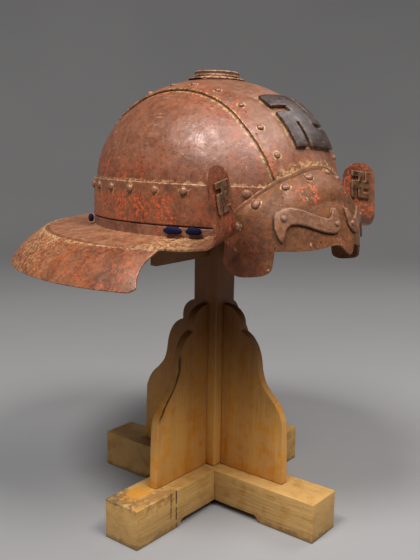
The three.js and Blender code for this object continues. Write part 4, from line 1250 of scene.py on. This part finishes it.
def painted_shadow_and_run(tree, colour):
    """Painted shadow: the upright boards are darkened towards the helmet, where its
    shade falls; and old polish has run down the outer edge of the brace on the wearer's right."""
    ahead, behind, high = from_post(tree)
    # Painted shadow of the helmet: near black above 0.19 m, fading out by 0.07 m.
    colour = layer(tree, between(tree, high, 0.070, 0.190, 0, 0.92), colour, (0.105, 0.030, 0.002))
    outline = between(tree, high, 0.088, 0.140, -0.0804, -0.0523)
    wobble = between(tree, grain(tree, 110, 4, (1, 1, 0.4), 9), 0.3, 0.7, -0.0005, 0.0006)
    run = line_down(tree, ahead, outline, 0.0019, wobble)
    for limit in (between(tree, high, 0.092, 0.102), between(tree, high, 0.154, 0.146),
                  between(tree, behind, -0.0027, -0.0034)):
        run = times(tree, run, limit)
    return layer(tree, times(tree, run, 0.9), colour, (0.03, 0.010, 0.004))


BEAM_WOOD = ((0.35, 0.165, 0.032), (0.47, 0.25, 0.062), (0.58, 0.34, 0.105))
# The boards' cypress is lighter and more orange than the beams': partly the wood's own colour, partly a painted lift
# for the light on the boards' lower parts.
LIGHTENED_BOARD_WOOD = ((0.56, 0.205, 0.018), (0.67, 0.29, 0.034), (0.75, 0.38, 0.066))
side_wood = cypress("cypress_beam_side", 0, 2.0, *BEAM_WOOD, stain=foot_stain)
front_wood = cypress("cypress_beam_front", 1, 8.0, *BEAM_WOOD, stain=darker_feet)
upright_wood = cypress("cypress_post", 2, 14.0, *LIGHTENED_BOARD_WOOD, stain=painted_shadow_and_run)
brace_wood = cypress("cypress_brace", 2, 20.0, *LIGHTENED_BOARD_WOOD, stain=painted_shadow_and_run)
dress(board("stand_foot_beam_side_board", beam_outline(0.1223, True), BEAM_WIDTH, 0), side_wood,
      "cypress_wood", "stand_foot_beam_side")
dress(board("stand_foot_beam_front_board", beam_outline(0.1245, False), BEAM_WIDTH, 90), front_wood,
      "cypress_wood", "stand_foot_beam_front")

post_foot = BEAM_HEIGHT + GAP
half = POST_WIDTH / 2
post_outline = [(-half, post_foot), (half, post_foot), (half, POST_TOP), (-half, POST_TOP)]
dress(board("stand_post_board", post_outline, POST_WIDTH, 0, soft=0.0012), upright_wood,
      "cypress_wood", "stand_post")

brace_curve = through(np.array([
    (83, 35.8), (81.3, 86), (79.3, 97), (73.5, 107.5), (64.5, 116.3), (58, 124.3),
    (54.8, 133.5), (53.3, 143), (51.6, 150), (48.4, 157.3), (43.6, 163.4), (38.4, 167.2)]) / 1000, 5)
brace_top = through(np.array([
    (34.4, 168.4), (34.3, 174.5), (32.6, 180.6), (28, 186), (21.3, 189.4), (13.6, 190.4)]) / 1000, 5)
brace_outline = np.concatenate([[(0.0136, 0.0358)], brace_curve, brace_top])
rib_root, rib_low = POST_WIDTH / 2 + GAP, 0.2335
for number, (hand, reach, bowl_half) in enumerate((
        ("left", SIDE_REACH, HALF_WIDTH), ("back", FRONT_REACH, HALF_LENGTH),
        ("right", SIDE_REACH, HALF_WIDTH), ("front", FRONT_REACH, HALF_LENGTH))):
    heading = 90 * number
    dress(board(f"stand_brace_{hand}_board", brace_outline, BRACE, heading, soft=0.0008), brace_wood,
          "cypress_wood", f"stand_brace_{hand}")
    x = np.linspace(reach, rib_root, 30)
    under = SEAM_HEIGHT + (POST_TOP - SEAM_HEIGHT) * np.sqrt(1 - (x / (bowl_half - PLATE - RIB_CLEAR)) ** 2)
    outline = [(rib_root, rib_low), (reach, rib_low), *zip(x, under)]
    dress(board(f"stand_top_rib_{hand}_board", outline, RIB, heading, soft=0.0008), brace_wood,
          "cypress_wood", f"stand_top_rib_{hand}")


# ---------------------------------------------------------------- floor and light
# A pale seamless floor and four soft lamps overhead: one on the wearer's right,
# one in front, a cool weak one between them and one on the wearer's left.
def studio_floor():
    """A broad dish: level out to 1.5 m from the post, then swept up in a quarter
    circle into a wall, so that there is no line at the horizon."""
    bend = np.linspace(0, np.pi / 2, 24)
    r = np.concatenate([np.linspace(0.02, 1.5, 12, endpoint=False), 1.5 + 0.9 * np.sin(bend)])
    z = np.concatenate([np.zeros(12), 0.9 * (1 - np.cos(bend))])
    r, z = np.append(r, 2.4), np.append(z, 1.6)
    a = np.linspace(0, 2 * np.pi, 96, endpoint=False)[:, None]
    rings = np.stack([POST[0] + r * np.cos(a), POST[1] + r * np.sin(a), cad_low[2] + z + 0 * a], -1)
    sheet = mesh_object("floor", rings, cells(96, len(r), closed=True) + [[k * len(r) for k in range(96)]])
    material, tree, shader = finish("floor_paper")
    tone = between(tree, grain(tree, 1.5, 2), 0.3, 0.7)
    tree.links.new(layer(tree, tone, (0.28, 0.28, 0.285), (0.30, 0.30, 0.305)), shader.inputs["Base Color"])
    shader.inputs["Roughness"].default_value = 0.9
    shader.inputs["Specular IOR Level"].default_value = 0.2
    sheet.data.materials.append(material)
    return sheet


def soft_lamp(name, towards, distance, size, power, colour):
    """An area lamp in the direction `towards` from the bowl, facing it."""
    lamp = bpy.data.objects.new(name, bpy.data.lights.new(name, "AREA"))
    lamp.data.shape = "DISK"
    lamp.data.size = size
    lamp.data.energy = power
    lamp.data.color = colour
    aim = Vector((POST[0], POST[1], 0.28))
    lamp.location = aim + Vector(towards).normalized() * distance
    lamp.rotation_euler = (aim - lamp.location).to_track_quat("-Z", "Y").to_euler()
    bpy.context.scene.collection.objects.link(lamp)
    return lamp


floor = studio_floor()
key = soft_lamp("key_lamp", (-0.55, -0.03, 0.83), 1.5, 0.5, 22, (1.0, 0.98, 0.96))
front = soft_lamp("front_lamp", (-0.13, -0.58, 0.90), 1.6, 0.7, 21, (1.0, 0.95, 0.89))
cool = soft_lamp("cool_lamp", (-0.50, -0.58, 0.64), 1.8, 1.1, 3.2, (0.72, 0.84, 1.0))
high = soft_lamp("high_lamp", (0.60, -0.28, 0.75), 1.6, 0.9, 9.5, (1.0, 0.97, 0.94))
world = bpy.data.worlds.new("studio")
world.use_nodes = True
world.node_tree.nodes["Background"].inputs[0].default_value = (0.80, 0.82, 0.86, 1)
world.node_tree.nodes["Background"].inputs[1].default_value = 0.055
bpy.context.scene.world = world
bpy.context.scene.view_settings.view_transform = "Standard"
